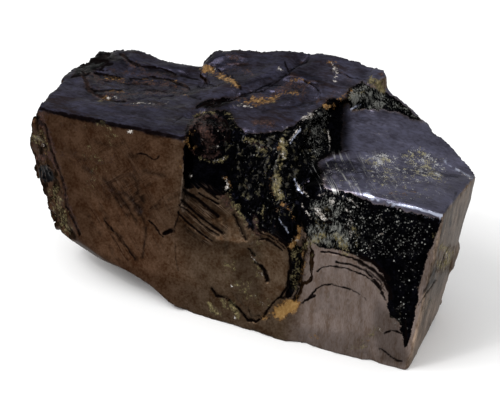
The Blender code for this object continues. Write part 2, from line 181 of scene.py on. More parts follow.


# ---------------------------------------------------------------- places on the stone, in the camera's frame

# Clefts and hairlines, cut into the relief and darkened with painted shade: (half width, depth in mm, darkness, path).
CLEFTS = [
    # the west table
    (1.6, 0.14, 1.0, [(121, 54), (127, 58), (131, 62), (139, 66)]),
    (1.2, 0.12, 0.9, [(139, 66), (150, 67), (160, 68), (168, 71), (176, 74)]),
    (1.4, 0.14, 1.0, [(95, 73), (103, 74), (112, 77), (120, 78)]),
    (1.0, 0.12, 0.9, [(130, 79), (142, 79), (152, 77), (162, 79)]),
    (1.3, 0.14, 0.9, [(164, 79), (172, 81), (178, 84), (184, 86), (190, 89)]),
    (2.4, 0.18, 1.0, [(84, 78), (87, 82), (88, 89), (92, 91)]),
    (1.1, 0.12, 0.9, [(93, 93), (99, 96), (106, 98)]),
    (0.9, 0.10, 0.7, [(106, 99), (114, 101), (126, 102)]),
    (1.3, 0.12, 0.9, [(89, 91), (100, 91), (110, 90), (122, 90)]),
    (1.6, 0.12, 0.9, [(100, 97), (105, 98)]),
    (1.0, 0.10, 0.9, [(71, 77), (80, 75), (86, 76), (90, 73)]),
    (1.2, 0.12, 0.9, [(82, 72), (86, 75)]),
    (0.9, 0.10, 0.8, [(92, 69), (99, 70), (108, 71)]),
    (1.0, 0.10, 0.8, [(126, 84), (140, 84), (150, 85)]),
    (0.9, 0.08, 0.7, [(112, 83), (104, 81)]),
    (0.9, 0.08, 0.6, [(140, 91), (152, 90), (166, 92)]),
    (0.8, 0.06, 0.5, [(150, 96), (162, 97), (178, 96)]),
    (1.0, 0.12, 0.7, [(181, 75), (190, 78), (200, 80), (206, 84), (216, 86)]),
    (0.8, 0.10, 0.6, [(188, 97), (194, 98), (201, 99)]),
    (0.7, 0.08, 0.6, [(172, 126), (174, 122), (178, 119), (183, 117)]),
    (3.0, 0.15, 1.0, [(80, 66), (90, 62), (100, 58), (108, 55)]),
    (2.0, 0.12, 1.0, [(96, 63), (104, 60), (108, 62)]),
    (1.6, 0.12, 0.9, [(100, 70), (104, 66), (112, 64)]),
    # over the crown
    (1.2, 0.30, 0.8, [(196, 109), (208, 102), (217, 100), (229, 101), (238, 97), (246, 94)]),
    (0.8, 0.18, 0.7, [(246, 94), (255, 92), (264, 91), (271, 86), (278, 81), (284, 76), (289, 74)]),
    (2.2, 0.20, 1.0, [(205, 104), (213, 106), (220, 104)]),
    (1.4, 0.10, 0.7, [(285, 62), (287, 68), (290, 74)]),
    (1.0, 0.10, 0.8, [(234, 79), (238, 84), (241, 89)]),
    (0.9, 0.08, 0.7, [(304, 81), (311, 84), (316, 88), (321, 94)]),
    (0.8, 0.06, 0.4, [(297, 96), (304, 99), (314, 99), (322, 100)]),
    (0.8, 0.05, 0.5, [(216, 64), (228, 66), (240, 65), (252, 64), (262, 66)]),
    (0.7, 0.05, 0.5, [(262, 72), (272, 74), (280, 72)]),
    (0.7, 0.05, 0.5, [(252, 93), (262, 91), (274, 94), (286, 90), (298, 93)]),
    (0.8, 0.06, 0.6, [(330, 70), (342, 73), (352, 78), (366, 80)]),
    # the notch in the flank
    (2.2, 0.80, 0.9, [(37, 116), (42, 124)]),
    # ochre ledge: small dark ticks above it
    (0.8, 0.15, 0.8, [(212, 66), (214, 70)]),
    (0.8, 0.15, 0.8, [(219, 69), (221, 73)]),
    (0.8, 0.15, 0.8, [(226, 73), (228, 77)]),
    (0.8, 0.15, 0.8, [(232, 76), (234, 80)]),
    # the hollow and the middle
    (0.8, 0.20, 0.8, [(198, 150), (205, 154), (213, 155), (220, 151)]),
    (0.7, 0.20, 0.8, [(204, 134), (206, 142), (212, 145), (219, 141)]),
    (0.7, 0.20, 0.7, [(190, 130), (196, 134), (197, 142)]),
    (0.8, 0.15, 0.9, [(262, 229), (270, 233), (278, 238), (286, 245)]),
    (0.8, 0.15, 0.8, [(258, 231), (268, 236), (277, 241), (285, 248)]),
    (0.7, 0.12, 0.6, [(256, 234), (266, 240), (276, 246)]),
    (1.0, 0.20, 0.8, [(331, 211), (325, 211)]),
    (1.0, 0.20, 0.9, [(334, 216), (326, 217)]),
    (1.0, 0.20, 0.9, [(335, 222), (326, 223)]),
    (0.9, 0.20, 0.7, [(334, 228), (327, 229)]),
    (0.9, 0.20, 0.7, [(344, 222), (346, 230), (345, 238)]),
    (0.9, 0.20, 0.7, [(350, 214), (352, 224), (349, 236)]),
    (1.0, 0.30, 0.9, [(197, 124), (200, 134), (203, 144), (210, 150)]),
    (1.0, 0.30, 0.9, [(208, 122), (211, 130), (209, 140), (214, 148), (222, 151)]),
    (1.2, 0.30, 1.0, [(218, 118), (226, 122), (230, 132), (229, 142)]),
    (1.0, 0.25, 0.9, [(193, 128), (192, 138), (196, 148), (204, 154)]),
    (0.9, 0.20, 0.9, [(214, 124), (218, 134), (218, 144), (212, 150)]),
    (0.9, 0.20, 0.8, [(203, 118), (212, 118), (220, 124)]),
    (0.9, 0.20, 0.8, [(222, 120), (226, 130), (226, 140)]),
    (1.4, 0.55, 1.0, [(303, 240), (305, 252), (303, 264), (301, 276), (297, 290), (294, 300)]),
    (1.6, 0.60, 1.0, [(288, 244), (290, 256), (290, 272), (287, 288), (281, 297)]),
    (1.2, 0.45, 1.0, [(212, 289), (216, 296), (224, 297), (231, 302), (238, 308), (243, 314), (248, 320), (256, 321)]),
    (1.0, 0.40, 0.9, [(256, 321), (263, 318), (268, 309), (273, 302), (278, 298), (284, 298), (290, 293)]),
    (0.9, 0.40, 0.9, [(249, 249), (252, 253), (255, 256)]),
    (1.2, 0.40, 0.9, [(255, 262), (259, 265)]),
    (2.2, 0.60, 1.0, [(261, 266), (264, 271), (266, 276), (268, 281)]),
    (0.8, 0.25, 0.8, [(234, 214), (237, 222), (241, 231), (246, 240)]),
    (0.9, 0.25, 0.9, [(258, 240), (266, 239), (274, 243), (282, 250)]),
    # the west front
    (0.8, 0.12, 0.8, [(136, 154), (144, 154), (149, 157), (153, 160), (157, 159), (159, 156)]),
    (0.9, 0.12, 0.7, [(105, 221), (110, 227), (113, 231)]),
    (0.9, 0.12, 0.6, [(117, 235), (122, 239), (128, 249), (135, 260)]),
    (0.9, 0.15, 0.8, [(149, 221), (156, 228), (163, 237)]),
    (2.4, 0.60, 1.0, [(165, 233), (168, 232), (171, 231)]),
    (1.6, 0.06, 0.35, [(146, 227), (145, 240), (142, 258)]),
    (0.7, 0.08, 0.4, [(150, 209), (156, 203), (167, 195), (178, 192)]),
    (0.7, 0.10, 0.5, [(175, 241), (175, 254), (178, 270)]),
    (0.6, 0.08, 0.3, [(160, 143), (170, 145), (180, 146)]),
    (0.8, 0.05, 0.6, [(183, 184), (182, 196), (180, 208), (177, 222), (174, 232)]),
    # shell edges on the east front
    (0.8, 0.16, 1.0, [(321, 252), (330, 252), (337, 254)]),
    (0.9, 0.18, 1.0, [(338, 254), (345, 256), (352, 258), (360, 262)]),
    (2.5, 0.20, 1.0, [(360, 262), (368, 267), (376, 272), (383, 279), (388, 288), (391, 298)]),
    (2.0, 0.20, 1.0, [(358, 256), (366, 259), (375, 264), (383, 271), (389, 279)]),
    (0.9, 0.14, 0.9, [(336, 262), (350, 264), (362, 269), (372, 277), (380, 287), (385, 300)]),
    (0.7, 0.14, 0.9, [(317, 271), (323, 267), (332, 266), (343, 268), (354, 271), (366, 276), (374, 282), (380, 290),
                      (383, 298)]),
    (0.7, 0.10, 0.6, [(352, 264), (362, 268), (372, 274), (380, 282), (385, 292)]),
    (0.7, 0.14, 0.9, [(302, 303), (309, 297), (316, 290), (323, 285), (331, 284), (340, 287), (350, 289)]),
    (0.7, 0.12, 0.6, [(350, 289), (358, 293), (366, 300)]),
    (1.1, 0.16, 1.0, [(343, 287), (349, 289)]),
    (1.2, 0.16, 1.0, [(308, 299), (315, 296)]),
    (0.8, 0.20, 0.8, [(384, 333), (392, 330), (401, 333)]),
    (0.9, 0.20, 0.9, [(405, 320), (406, 333), (404, 346)]),
    (0.8, 0.25, 0.8, [(379, 349), (388, 354), (395, 360), (402, 361)]),
    # where the ramp meets the shelf
    (0.7, 0.12, 0.7, [(314, 160), (322, 157), (332, 154), (348, 151)]),
    (0.6, 0.08, 0.4, [(348, 151), (366, 151), (386, 150)]),
    # the west flank
    (1.2, 0.35, 0.9, [(45, 124), (51, 149), (56, 163), (62, 178), (65, 191), (67, 207), (73, 219), (80, 235)]),
    # the east end
    (0.7, 0.12, 0.7, [(418, 305), (424, 297), (430, 289), (436, 280)]),
    (0.8, 0.15, 0.6, [(449, 247), (444, 256), (440, 270)]),
]

# The front edge of the west table, where a dark line of painted shade covers the bevel.
TABLE_RIM = [(40, 105), (60, 111), (80, 117), (100, 123), (120, 127), (140, 130), (160, 133), (184, 137)]

# The dark lines between the ribs in the hollow, painted shade over shallow cuts: (half width, darkness, path).
RIB_LINES = [
    (1.5, 1.0, [(184, 190), (189, 194), (198, 199), (206, 206)]),
    (2.0, 1.0, [(198, 199), (206, 206), (213, 212), (218, 216)]),
    (0.7, 0.95, [(199, 193), (207, 198), (213, 201), (219, 204)]),
    (0.7, 0.95, [(202, 187), (210, 193), (218, 199)]),
    (0.6, 0.8, [(208, 187), (215, 192), (222, 197)]),
    (0.9, 1.0, [(181, 199), (189, 207), (197, 214), (206, 221), (214, 227), (223, 233)]),
    (0.7, 0.85, [(179, 205), (187, 210), (194, 216), (201, 223), (210, 230), (219, 235)]),
    (0.9, 0.95, [(178, 212), (186, 221), (194, 228), (203, 235), (212, 241)]),
]

# Lines that are only a darker brown than their face, scratches among them, and painted shade between the ribs and
# below the ledges: (half width, strength, path).
SHADE_LINES = [
    (0.9, 0.88, [(115, 197), (121, 206), (128, 215)]),
    (0.9, 0.80, [(117, 192), (123, 200), (129, 208)]),
    (0.7, 0.48, [(119, 177), (125, 184), (132, 192), (138, 200), (142, 207), (148, 215), (151, 218)]),
    (0.9, 0.72, [(123, 191), (130, 199), (137, 208), (144, 218), (145, 222)]),
    (1.2, 0.88, [(129, 195), (134, 202), (140, 208)]),
    (1, 0.88, [(134, 189), (140, 196), (145, 204)]),
    (0.8, 0.64, [(137, 187), (144, 196), (147, 200)]),
    (0.9, 0.80, [(129, 208), (134, 217), (138, 223)]),
    (1, 0.80, [(136, 210), (142, 219), (145, 223)]),
    (0.7, 0.48, [(114, 186), (121, 195), (126, 203)]),
    (0.7, 0.48, [(126, 181), (133, 188), (138, 195)]),
    (0.7, 0.48, [(110, 196), (118, 192), (124, 186)]),
    (0.7, 0.40, [(131, 196), (142, 190), (152, 182)]),
    (0.8, 0.56, [(149, 210), (160, 203), (179, 194)]),
    (0.8, 0.80, [(104, 218), (108, 227), (115, 233), (121, 237)]),
    (0.8, 0.48, [(88, 215), (98, 231), (111, 248), (119, 260)]),
    (0.8, 0.64, [(118, 237), (129, 249), (137, 260)]),
    (0.8, 0.40, [(100, 206), (110, 220)]),
    (2.2, 0.56, [(103, 178), (108, 184), (112, 190)]),
    (2.2, 0.56, [(132, 175), (138, 182)]),
    (2, 0.48, [(143, 170), (154, 173), (164, 176)]),
    (2.6, 0.48, [(84, 167), (92, 173)]),
    (1.8, 0.56, [(129, 156), (136, 156)]),
    (2, 0.40, [(96, 142), (112, 146), (124, 143)]),
    (2.2, 0.32, [(68, 150), (82, 160), (94, 158)]),
    (1.6, 0.48, [(146, 224), (145, 240), (142, 258)]),
    # painted shade between the ribs
    (0.7, 0.72, [(185, 194), (194, 200), (202, 208), (211, 215), (219, 222)]),
    (0.7, 0.64, [(180, 209), (190, 218), (200, 226), (210, 233)]),
    (0.8, 0.72, [(178, 219), (188, 229), (198, 236), (208, 243)]),
    (0.7, 0.56, [(186, 197), (196, 205), (206, 213), (214, 219)]),
    (1.4, 0.48, [(225, 214), (226, 232), (226, 254)]),
    # hairlines down the east shell
    (0.7, 0.22, [(322, 264), (321, 300)]),
    (0.7, 0.26, [(336, 262), (336, 312)]),
    (0.7, 0.22, [(347, 270), (348, 322)]),
    (0.7, 0.19, [(360, 286), (361, 332)]),
    (0.7, 0.19, [(329, 290), (328, 330)]),
    (1.1, 0.22, [(312, 312), (326, 306), (342, 310)]),
    # painted shade below the ledges of the west table
    (3.0, 0.50, [(92, 77), (108, 79), (122, 81)]),
    (2.4, 0.40, [(126, 82), (146, 82), (168, 83)]),
    (2.6, 0.50, [(88, 94), (98, 94), (120, 93)]),
    (2.6, 0.50, [(136, 69), (156, 70), (176, 77)]),
    (3.4, 0.45, [(112, 56), (120, 58), (126, 64)]),
    (2.4, 0.40, [(172, 86), (186, 92), (194, 96)]),
    (2.6, 0.40, [(84, 70), (92, 67), (98, 66)]),
    # across the tops
    (1.2, 0.56, [(262, 112), (276, 108), (290, 108), (304, 104)]),
    (1.1, 0.56, [(246, 84), (258, 80), (270, 78)]),
    (1.1, 0.48, [(300, 72), (314, 76), (326, 84)]),
    (1, 0.48, [(340, 84), (352, 86), (364, 84)]),
    (1, 0.40, [(384, 112), (402, 116), (420, 122)]),
    (1, 0.48, [(376, 186), (384, 182), (398, 184)]),
    # down the east end
    (1.0, 0.60, [(448, 206), (445, 222), (441, 238)]),
    (1.2, 0.80, [(432, 276), (436, 268), (441, 264)]),
    (1.4, 0.85, [(424, 292), (429, 284), (434, 280)]),
    (1.0, 0.50, [(456, 192), (452, 210), (450, 226)]),
    (1.0, 0.45, [(436, 214), (432, 236), (428, 256)]),
    (1.0, 0.45, [(430, 300), (424, 320), (418, 338)]),
]

# Lines that are paler than their face, painted highlights where ridges would throw the light back: (half width,
# strength, path).
LIGHT_LINES = [
    (0.8, 0.77, [(184, 195), (192, 202), (202, 211), (212, 218), (221, 225)]),
    (0.8, 0.77, [(180, 206), (190, 215), (202, 224), (214, 232)]),
    (0.7, 0.68, [(200, 190), (208, 195), (218, 201)]),
    (0.7, 0.59, [(179, 215), (190, 226), (202, 234), (210, 239)]),
    # the fan at the west end of the shelf
    (0.6, 2.72, [(321, 174), (323, 180), (325, 187)]),
    (0.6, 2.72, [(317, 182), (321, 188)]),
    (0.7, 1.70, [(338, 160), (342, 167)]),
    (0.8, 1.87, [(347, 175), (350, 184)]),
    (0.6, 1.36, [(354, 161), (359, 169), (364, 178)]),
    (0.6, 1.70, [(328, 166), (335, 178), (340, 188)]),
    (0.6, 1.36, [(344, 163), (351, 175)]),
    (0.7, 1.36, [(352, 184), (358, 192)]),
    (0.6, 1.53, [(334, 170), (337, 182)]),
    (0.7, 2.04, [(324, 162), (330, 160), (338, 156)]),
    (0.6, 1.53, [(326, 176), (331, 188)]),
    # painted highlights along the ledges of the west table
    (1.3, 0.45, [(92, 70), (104, 71), (118, 74)]),
    (1.2, 0.40, [(124, 75), (140, 75), (158, 75), (172, 78)]),
    (1.4, 0.45, [(92, 87), (108, 87), (122, 87)]),
    (1.4, 0.40, [(140, 63), (156, 64), (172, 70)]),
    (1.6, 0.35, [(112, 52), (124, 51), (134, 54)]),
    (1.0, 0.40, [(452, 200), (448, 216), (444, 232)]),
    (1.2, 0.50, [(440, 228), (437, 244), (434, 258)]),
    (1.0, 0.45, [(426, 304), (420, 322), (414, 340)]),
    # down the ramp and along the shelf
    (0.8, 0.42, [(352, 126), (372, 123), (398, 126)]),
    (0.9, 0.59, [(372, 132), (380, 135), (388, 136)]),
    (0.7, 0.51, [(362, 166), (372, 178), (378, 190)]),
    (0.8, 0.51, [(400, 142), (424, 150), (446, 160)]),
    (0.7, 0.68, [(104, 112), (124, 116), (150, 120)]),
]

# Ochre, from weathered iron: (half width, strength, path).
OCHRE = [
    (2.7, 0.98, [(202, 70), (210, 70), (221, 76), (231, 81), (237, 85)]),
    (2.4, 0.85, [(204, 67), (212, 67)]),
    (3.8, 0.80, [(252, 99), (260, 101), (268, 100), (276, 98)]),
    (2.0, 0.75, [(276, 96), (284, 93), (297, 93)]),
    (1.4, 0.6, [(289, 80), (298, 80), (308, 82)]),
    (3.5, 0.45, [(238, 100), (246, 104), (256, 105)]),
    (1.0, 0.6, [(244, 70), (247, 72)]),
    (2.4, 0.6, [(327, 61), (334, 62), (339, 64)]),
    (2.8, 0.9, [(325, 107), (333, 106)]),
    (3.0, 0.65, [(340, 99), (345, 95), (350, 91)]),
    (1.4, 0.30, [(279, 140), (280, 158)]),
    (1.6, 0.35, [(271, 176), (270, 188), (276, 198)]),
    (2.0, 0.6, [(284, 204), (290, 212), (294, 220)]),
    (2.8, 0.9, [(299, 228), (299, 236), (295, 243), (291, 247)]),
    (1.4, 0.7, [(303, 246), (304, 262), (300, 282)]),
    (8.5, 1.40, [(280, 312), (286, 309), (292, 305)]),
    (4.0, 0.6, [(262, 318), (272, 314)]),
    (3.0, 0.6, [(296, 296), (292, 304)]),
    (1.8, 0.7, [(187, 138), (186, 143), (190, 147), (195, 147)]),
    (1.6, 0.6, [(190, 135), (194, 131)]),
    (1.9, 0.68, [(107, 77), (116, 79), (126, 80)]),
    (1.8, 0.75, [(101, 98), (110, 99)]),
    (1.1, 0.55, [(110, 91), (124, 91)]),
    (1.0, 0.45, [(140, 80), (158, 81), (177, 82)]),
    (1.2, 0.5, [(176, 83), (178, 90)]),
    (1.1, 0.45, [(184, 94), (189, 97)]),
    (1.6, 0.6, [(403, 193), (409, 193), (415, 192)]),
    (1.0, 0.6, [(390, 194), (393, 195)]),
    (1.8, 0.35, [(404, 187), (412, 186)]),
    (1.2, 0.5, [(427, 195), (430, 196)]),
    (2.0, 0.40, [(178, 160), (180, 178)]),
    (3.0, 0.40, [(308, 334), (318, 338)]),
    (2.6, 0.40, [(364, 337), (370, 343)]),
    (3.0, 0.40, [(46, 155), (50, 163)]),
    (1.4, 0.8, [(223, 177), (229, 181), (231, 188)]),
    (1.2, 0.6, [(472, 181), (465, 190)]),
]

# Olive and yellow crusts.
OLIVE = [
    (1.6, 0.70, [(201, 158), (210, 162), (222, 161), (228, 156)]),
    (4.5, 1.05, [(443, 248), (449, 252), (447, 262)]),
    (4.0, 0.95, [(438, 262), (442, 268)]),
    (2.6, 0.60, [(434, 236), (440, 242)]),
    (3.2, 1.05, [(282, 139), (283, 148), (284, 157)]),
    (2.2, 0.70, [(282, 160), (279, 168), (276, 174)]),
    (4.8, 1.15, [(277, 178), (276, 188), (279, 195)]),
    (5.0, 0.60, [(34, 138), (42, 142)]),
    (3.0, 0.45, [(206, 70), (220, 77), (234, 84)]),
    (3.0, 0.5, [(262, 101), (274, 100)]),
    (3.6, 0.6, [(226, 192), (236, 206), (244, 222)]),
    (1.6, 0.5, [(262, 205), (263, 218)]),
    (1.8, 0.5, [(255, 219), (259, 228)]),
    (6.0, 0.35, [(90, 124), (105, 122), (112, 140)]),
    (9.0, 0.28, [(90, 150), (100, 170), (90, 190)]),
    (4.8, 0.95, [(371, 79), (378, 83), (383, 89)]),
    (3.0, 0.7, [(350, 98), (356, 94), (362, 92)]),
    (3.8, 0.8, [(211, 304), (217, 313)]),
    (4.0, 1.0, [(232, 304), (237, 315)]),
    (3.2, 0.5, [(222, 300), (226, 308)]),
    (5.0, 0.5, [(352, 348), (362, 344), (370, 336), (377, 328)]),
    (3.4, 0.4, [(430, 300), (424, 312)]),
    (5.0, 0.8, [(345, 252), (342, 243), (337, 236)]),
    (5.0, 0.8, [(306, 246), (314, 240), (322, 236)]),
    (7.0, 0.30, [(324, 212), (320, 224), (326, 238), (340, 244)]),
    (3.0, 0.35, [(436, 186), (446, 183)]),
    (4.0, 0.5, [(427, 168), (440, 178)]),
    (3.4, 0.7, [(258, 147), (266, 152)]),
    (3.0, 0.6, [(245, 140), (254, 141)]),
    (3.0, 0.6, [(283, 141), (290, 147)]),
    (6.0, 0.35, [(258, 240), (254, 262), (258, 280)]),
    (9.0, 0.36, [(228, 262), (232, 280), (250, 292)]),
    (5.0, 0.55, [(295, 248), (296, 266), (294, 286)]),
    (7.0, 0.60, [(54, 190), (60, 210), (66, 230)]),
    (5.0, 0.50, [(40, 134), (48, 150)]),
    (5.0, 0.4, [(258, 300), (266, 303)]),
    (2.0, 0.35, [(100, 100), (124, 102)]),
    (1.8, 0.7, [(194, 116), (204, 112), (214, 112)]),
    (2.0, 0.5, [(226, 112), (232, 120), (236, 128)]),
    (4.0, 0.35, [(300, 248), (312, 256)]),
    (1.6, 0.55, [(352, 225), (357, 240), (355, 252)]),
]

# Rust, dark and reddish.
RUST = [
    (8.5, 0.80, [(202, 124), (208, 134), (209, 148)]),
    (4.0, 0.75, [(190, 126), (200, 117), (214, 114)]),
    (4.0, 0.90, [(40, 114), (43, 122)]),
    (4.0, 0.60, [(220, 118), (224, 130), (224, 144)]),
    (3.0, 0.7, [(192, 150), (204, 156), (218, 154)]),
    (5.0, 0.6, [(84, 72), (94, 76), (100, 82)]),
    (4.0, 0.6, [(104, 92), (116, 95), (126, 98)]),
    (3.6, 0.5, [(120, 84), (150, 84), (175, 86)]),
    (4.0, 0.5, [(130, 66), (150, 74), (170, 76)]),
    (1.6, 0.8, [(84, 78), (88, 88), (95, 96), (104, 99)]),
    (1.4, 0.8, [(98, 78), (116, 82), (140, 83), (166, 84), (186, 90)]),
    (1.4, 0.7, [(96, 88), (112, 93), (134, 94), (160, 92), (180, 94)]),
    (1.2, 0.7, [(108, 70), (128, 73), (150, 76)]),
    (1.4, 0.6, [(110, 104), (136, 106), (160, 106)]),
    (5.0, 0.7, [(238, 98), (246, 103), (258, 103)]),
    (5.0, 0.6, [(256, 98), (270, 97), (282, 92)]),
    (3.0, 0.6, [(228, 56), (236, 58)]),
    (3.0, 0.6, [(246, 68), (252, 74)]),
    (4.0, 0.8, [(254, 122), (266, 125), (274, 123)]),
    (6.0, 0.75, [(280, 90), (292, 84), (304, 90), (300, 96)]),
    (4.0, 0.5, [(222, 68), (240, 72), (252, 74)]),
    (4.0, 0.6, [(318, 102), (328, 100), (334, 94)]),
    (4.0, 0.5, [(340, 72), (350, 78)]),
    (3.4, 0.6, [(283, 203), (290, 210)]),
    (3.4, 0.7, [(222, 195), (226, 202), (232, 207)]),
    (3.0, 0.7, [(254, 216), (256, 226), (258, 234)]),
    (4.0, 0.5, [(300, 240), (306, 256), (302, 280)]),
    (4.0, 0.7, [(381, 73), (387, 78)]),
    (5.0, 0.7, [(42, 118), (44, 126)]),
    (5.0, 0.9, [(38, 158), (50, 156), (54, 164)]),
    (3.0, 0.8, [(44, 122), (50, 140), (54, 156)]),
    (2.4, 0.8, [(58, 168), (64, 186), (68, 206), (78, 230)]),
    (6.0, 0.30, [(120, 192), (132, 202), (142, 214)]),
    (6.0, 0.28, [(135, 170), (150, 178), (165, 172)]),
    (8.0, 0.28, [(60, 150), (90, 165), (110, 160)]),
    (7.0, 0.28, [(84, 180), (100, 186), (110, 190)]),
    (7.0, 0.25, [(66, 124), (84, 132), (70, 140)]),
    (5.0, 0.4, [(250, 140), (262, 146)]),
    (3.0, 0.30, [(80, 68), (90, 62), (100, 58), (110, 55)]),
    (2.2, 0.95, [(84, 78), (88, 84), (90, 91)]),
    (2.4, 0.90, [(100, 98), (106, 98)]),
    (1.8, 0.85, [(110, 91), (124, 91)]),
    (1.8, 0.80, [(180, 84), (188, 88)]),
    (2.4, 0.80, [(122, 55), (130, 62), (138, 66)]),
    (2.0, 0.30, [(208, 104), (222, 103)]),
]

# Pale mineral, nearly white.
PALE = [
    (0.8, 0.6, [(252, 257), (257, 263)]),
    (0.9, 0.6, [(260, 270), (263, 277)]),
    (1.0, 0.5, [(348, 208), (352, 222), (350, 238)]),
    (1.0, 0.7, [(342, 197), (350, 200), (358, 206)]),
    (1.0, 0.6, [(330, 203), (334, 206)]),
    (2.0, 1.0, [(279, 69), (281, 71)]),
    (1.2, 0.9, [(332, 63), (334, 69), (337, 74), (335, 81)]),
    (1.3, 0.9, [(233, 107), (238, 105), (243, 106)]),
    (1.1, 0.8, [(246, 107), (252, 107)]),
    (1.2, 0.9, [(107, 98), (109, 98)]),
    (1.0, 0.7, [(115, 98), (117, 98)]),
    # a painted glint on the rim of the west table
    (1.2, 1.0, [(129, 131), (131, 131)]),
    (1.2, 0.9, [(42, 145), (44, 146)]),
    (1.4, 1.0, [(380, 331), (381, 332)]),
    (1.0, 0.5, [(125, 78), (128, 78)]),
    (0.8, 0.45, [(131, 103), (150, 103), (172, 103)]),
    (1.0, 0.8, [(289, 141), (294, 135), (300, 127)]),
    (0.9, 0.7, [(328, 131), (329, 140), (330, 150)]),
    (1.2, 0.8, [(226, 178), (228, 184), (226, 188)]),
    (1.6, 0.45, [(213, 147), (216, 150)]),
    (1.8, 0.6, [(281, 140), (285, 145)]),
    (2.2, 0.65, [(283, 152), (284, 157)]),
    (2.4, 0.6, [(275, 178), (277, 184)]),
    (2.0, 0.5, [(279, 190), (278, 196)]),
    (1.8, 0.7, [(292, 240), (297, 240)]),
    (3.4, 0.6, [(304, 120), (308, 116), (313, 114)]),
    (1.6, 0.4, [(330, 170), (322, 184)]),
    (1.2, 0.35, [(338, 166), (330, 182)]),
    (1.2, 0.35, [(346, 172), (352, 186), (358, 192)]),
    (2.4, 0.35, [(255, 298), (262, 302)]),
    (1.2, 0.9, [(234, 317), (235, 318)]),
    (1.2, 0.7, [(230, 284), (232, 286)]),
    (1.3, 0.9, [(380, 233), (382, 234)]),
    (1.1, 0.8, [(378, 222), (379, 222)]),
    (1.0, 0.7, [(389, 225), (391, 225)]),
    (1.0, 0.7, [(367, 247), (373, 243)]),
    (1.0, 0.6, [(364, 232), (366, 232)]),
    (1.0, 0.5, [(445, 162), (456, 169), (470, 178)]),
    (1.4, 0.6, [(446, 250), (448, 258)]),
    (0.9, 0.4, [(215, 69), (216, 70)]),
    (1.6, 0.25, [(215, 126), (220, 132), (224, 138)]),
    (1.0, 0.7, [(201, 139), (202, 140)]),
    (1.0, 0.7, [(216, 147), (218, 147)]),
    (1.0, 0.35, [(200, 160), (212, 162), (224, 158)]),
    (0.9, 0.85, [(297, 184), (300, 189), (304, 193), (308, 196)]),
    (0.7, 0.80, [(302, 203), (306, 210), (311, 219)]),
    (4.2, 0.80, [(316, 210), (321, 213), (323, 217)]),
    (2.4, 0.75, [(328, 201), (334, 201)]),
    (0.7, 0.50, [(318, 196), (328, 193), (340, 194)]),
    (0.7, 0.50, [(346, 208), (349, 216), (347, 226)]),
    (1.8, 0.5, [(187, 173), (192, 177)]),
]

# Where fine lines run side by side: scratches, scratches the other way, ribs and a fan of ridges. Each family has
# strokes that run with its lines, as (start, end, a place on the ground between them), how finely the lines lie, how
# strongly they darken and lighten the ground, the tone of their ridges, and their areas as (strength, area). On the
# scratches and ribs the lightening is a highlight painted on their ridges, and the darkening between the ribs is
# painted shade.
LINE_FAMILIES = [
    (
        [((115, 155), (150, 215), (130, 190))],
        900.0,
        0.85,
        0.22,
        "ridge_highlight_tone",
        [
            (1.0, [(108, 178), (126, 164), (140, 186), (152, 212), (146, 226), (136, 226), (122, 212), (110, 196)]),
            (0.45, [(74, 140), (120, 136), (150, 160), (178, 196), (176, 240), (150, 262), (118, 262), (88, 220)]),
            (0.8, [(84, 206), (96, 206), (126, 246), (140, 264), (124, 264), (100, 240)]),
        ],
    ),
    (
        [((110, 196), (152, 172), (130, 185))],
        800.0,
        0.75,
        0.16,
        "ridge_highlight_tone",
        [
            (0.7, [(100, 180), (124, 160), (150, 168), (156, 196), (130, 212), (108, 204)]),
            (0.5, [(146, 190), (180, 186), (178, 214), (150, 220)]),
            (0.35, [(90, 140), (150, 136), (180, 150), (176, 180), (110, 176)]),
        ],
    ),
    (
        [((181, 199), (223, 233), (200, 215)), ((178, 212), (212, 241), (195, 228))],
        1050.0,
        0.92,
        0.45,
        "ridge_highlight_tone",
        [
            (1.0, [(184, 186), (206, 186), (222, 198), (232, 210), (228, 232), (216, 246), (200, 242), (178, 222),
                   (178, 204)]),
            (0.7, [(252, 228), (272, 232), (290, 246), (284, 252), (262, 242)]),
        ],
    ),
    (
        [((328, 166), (340, 188), (335, 176)), ((344, 163), (351, 175), (348, 170))],
        800.0,
        0.20,
        0.95,
        "fleck_grey",
        [
            (0.9, [(314, 164), (338, 154), (356, 160), (368, 178), (366, 194), (344, 192), (320, 188)]),
            (0.35, [(352, 156), (380, 152), (400, 180), (396, 198), (368, 192)]),
        ],
    ),
]

# Painted glints: highlights painted along the edges, where they would throw the light back: (half width, strength,
# path).
PAINTED_GLINTS = [
    (1.1, 1.0, [(398, 205), (410, 207), (425, 211), (442, 216)]),
    (0.8, 0.8, [(370, 198), (384, 201), (398, 204)]),
    (2.2, 0.7, [(364, 192), (368, 196), (371, 197)]),
    (1.4, 0.25, [(405, 211), (424, 216), (440, 221)]),
    (0.5, 1.0, [(294, 179), (296, 184), (298, 188)]),
    (0.8, 0.45, [(298, 188), (303, 193), (307, 196)]),
    (0.5, 0.6, [(290, 143), (295, 136), (301, 129)]),
    (0.8, 0.4, [(278, 218), (284, 226), (289, 233)]),
    (0.8, 0.6, [(351, 110), (355, 107), (360, 104)]),
    (0.7, 0.5, [(442, 161), (456, 169), (472, 178)]),
    (0.6, 0.4, [(358, 166), (364, 182), (369, 194)]),
]
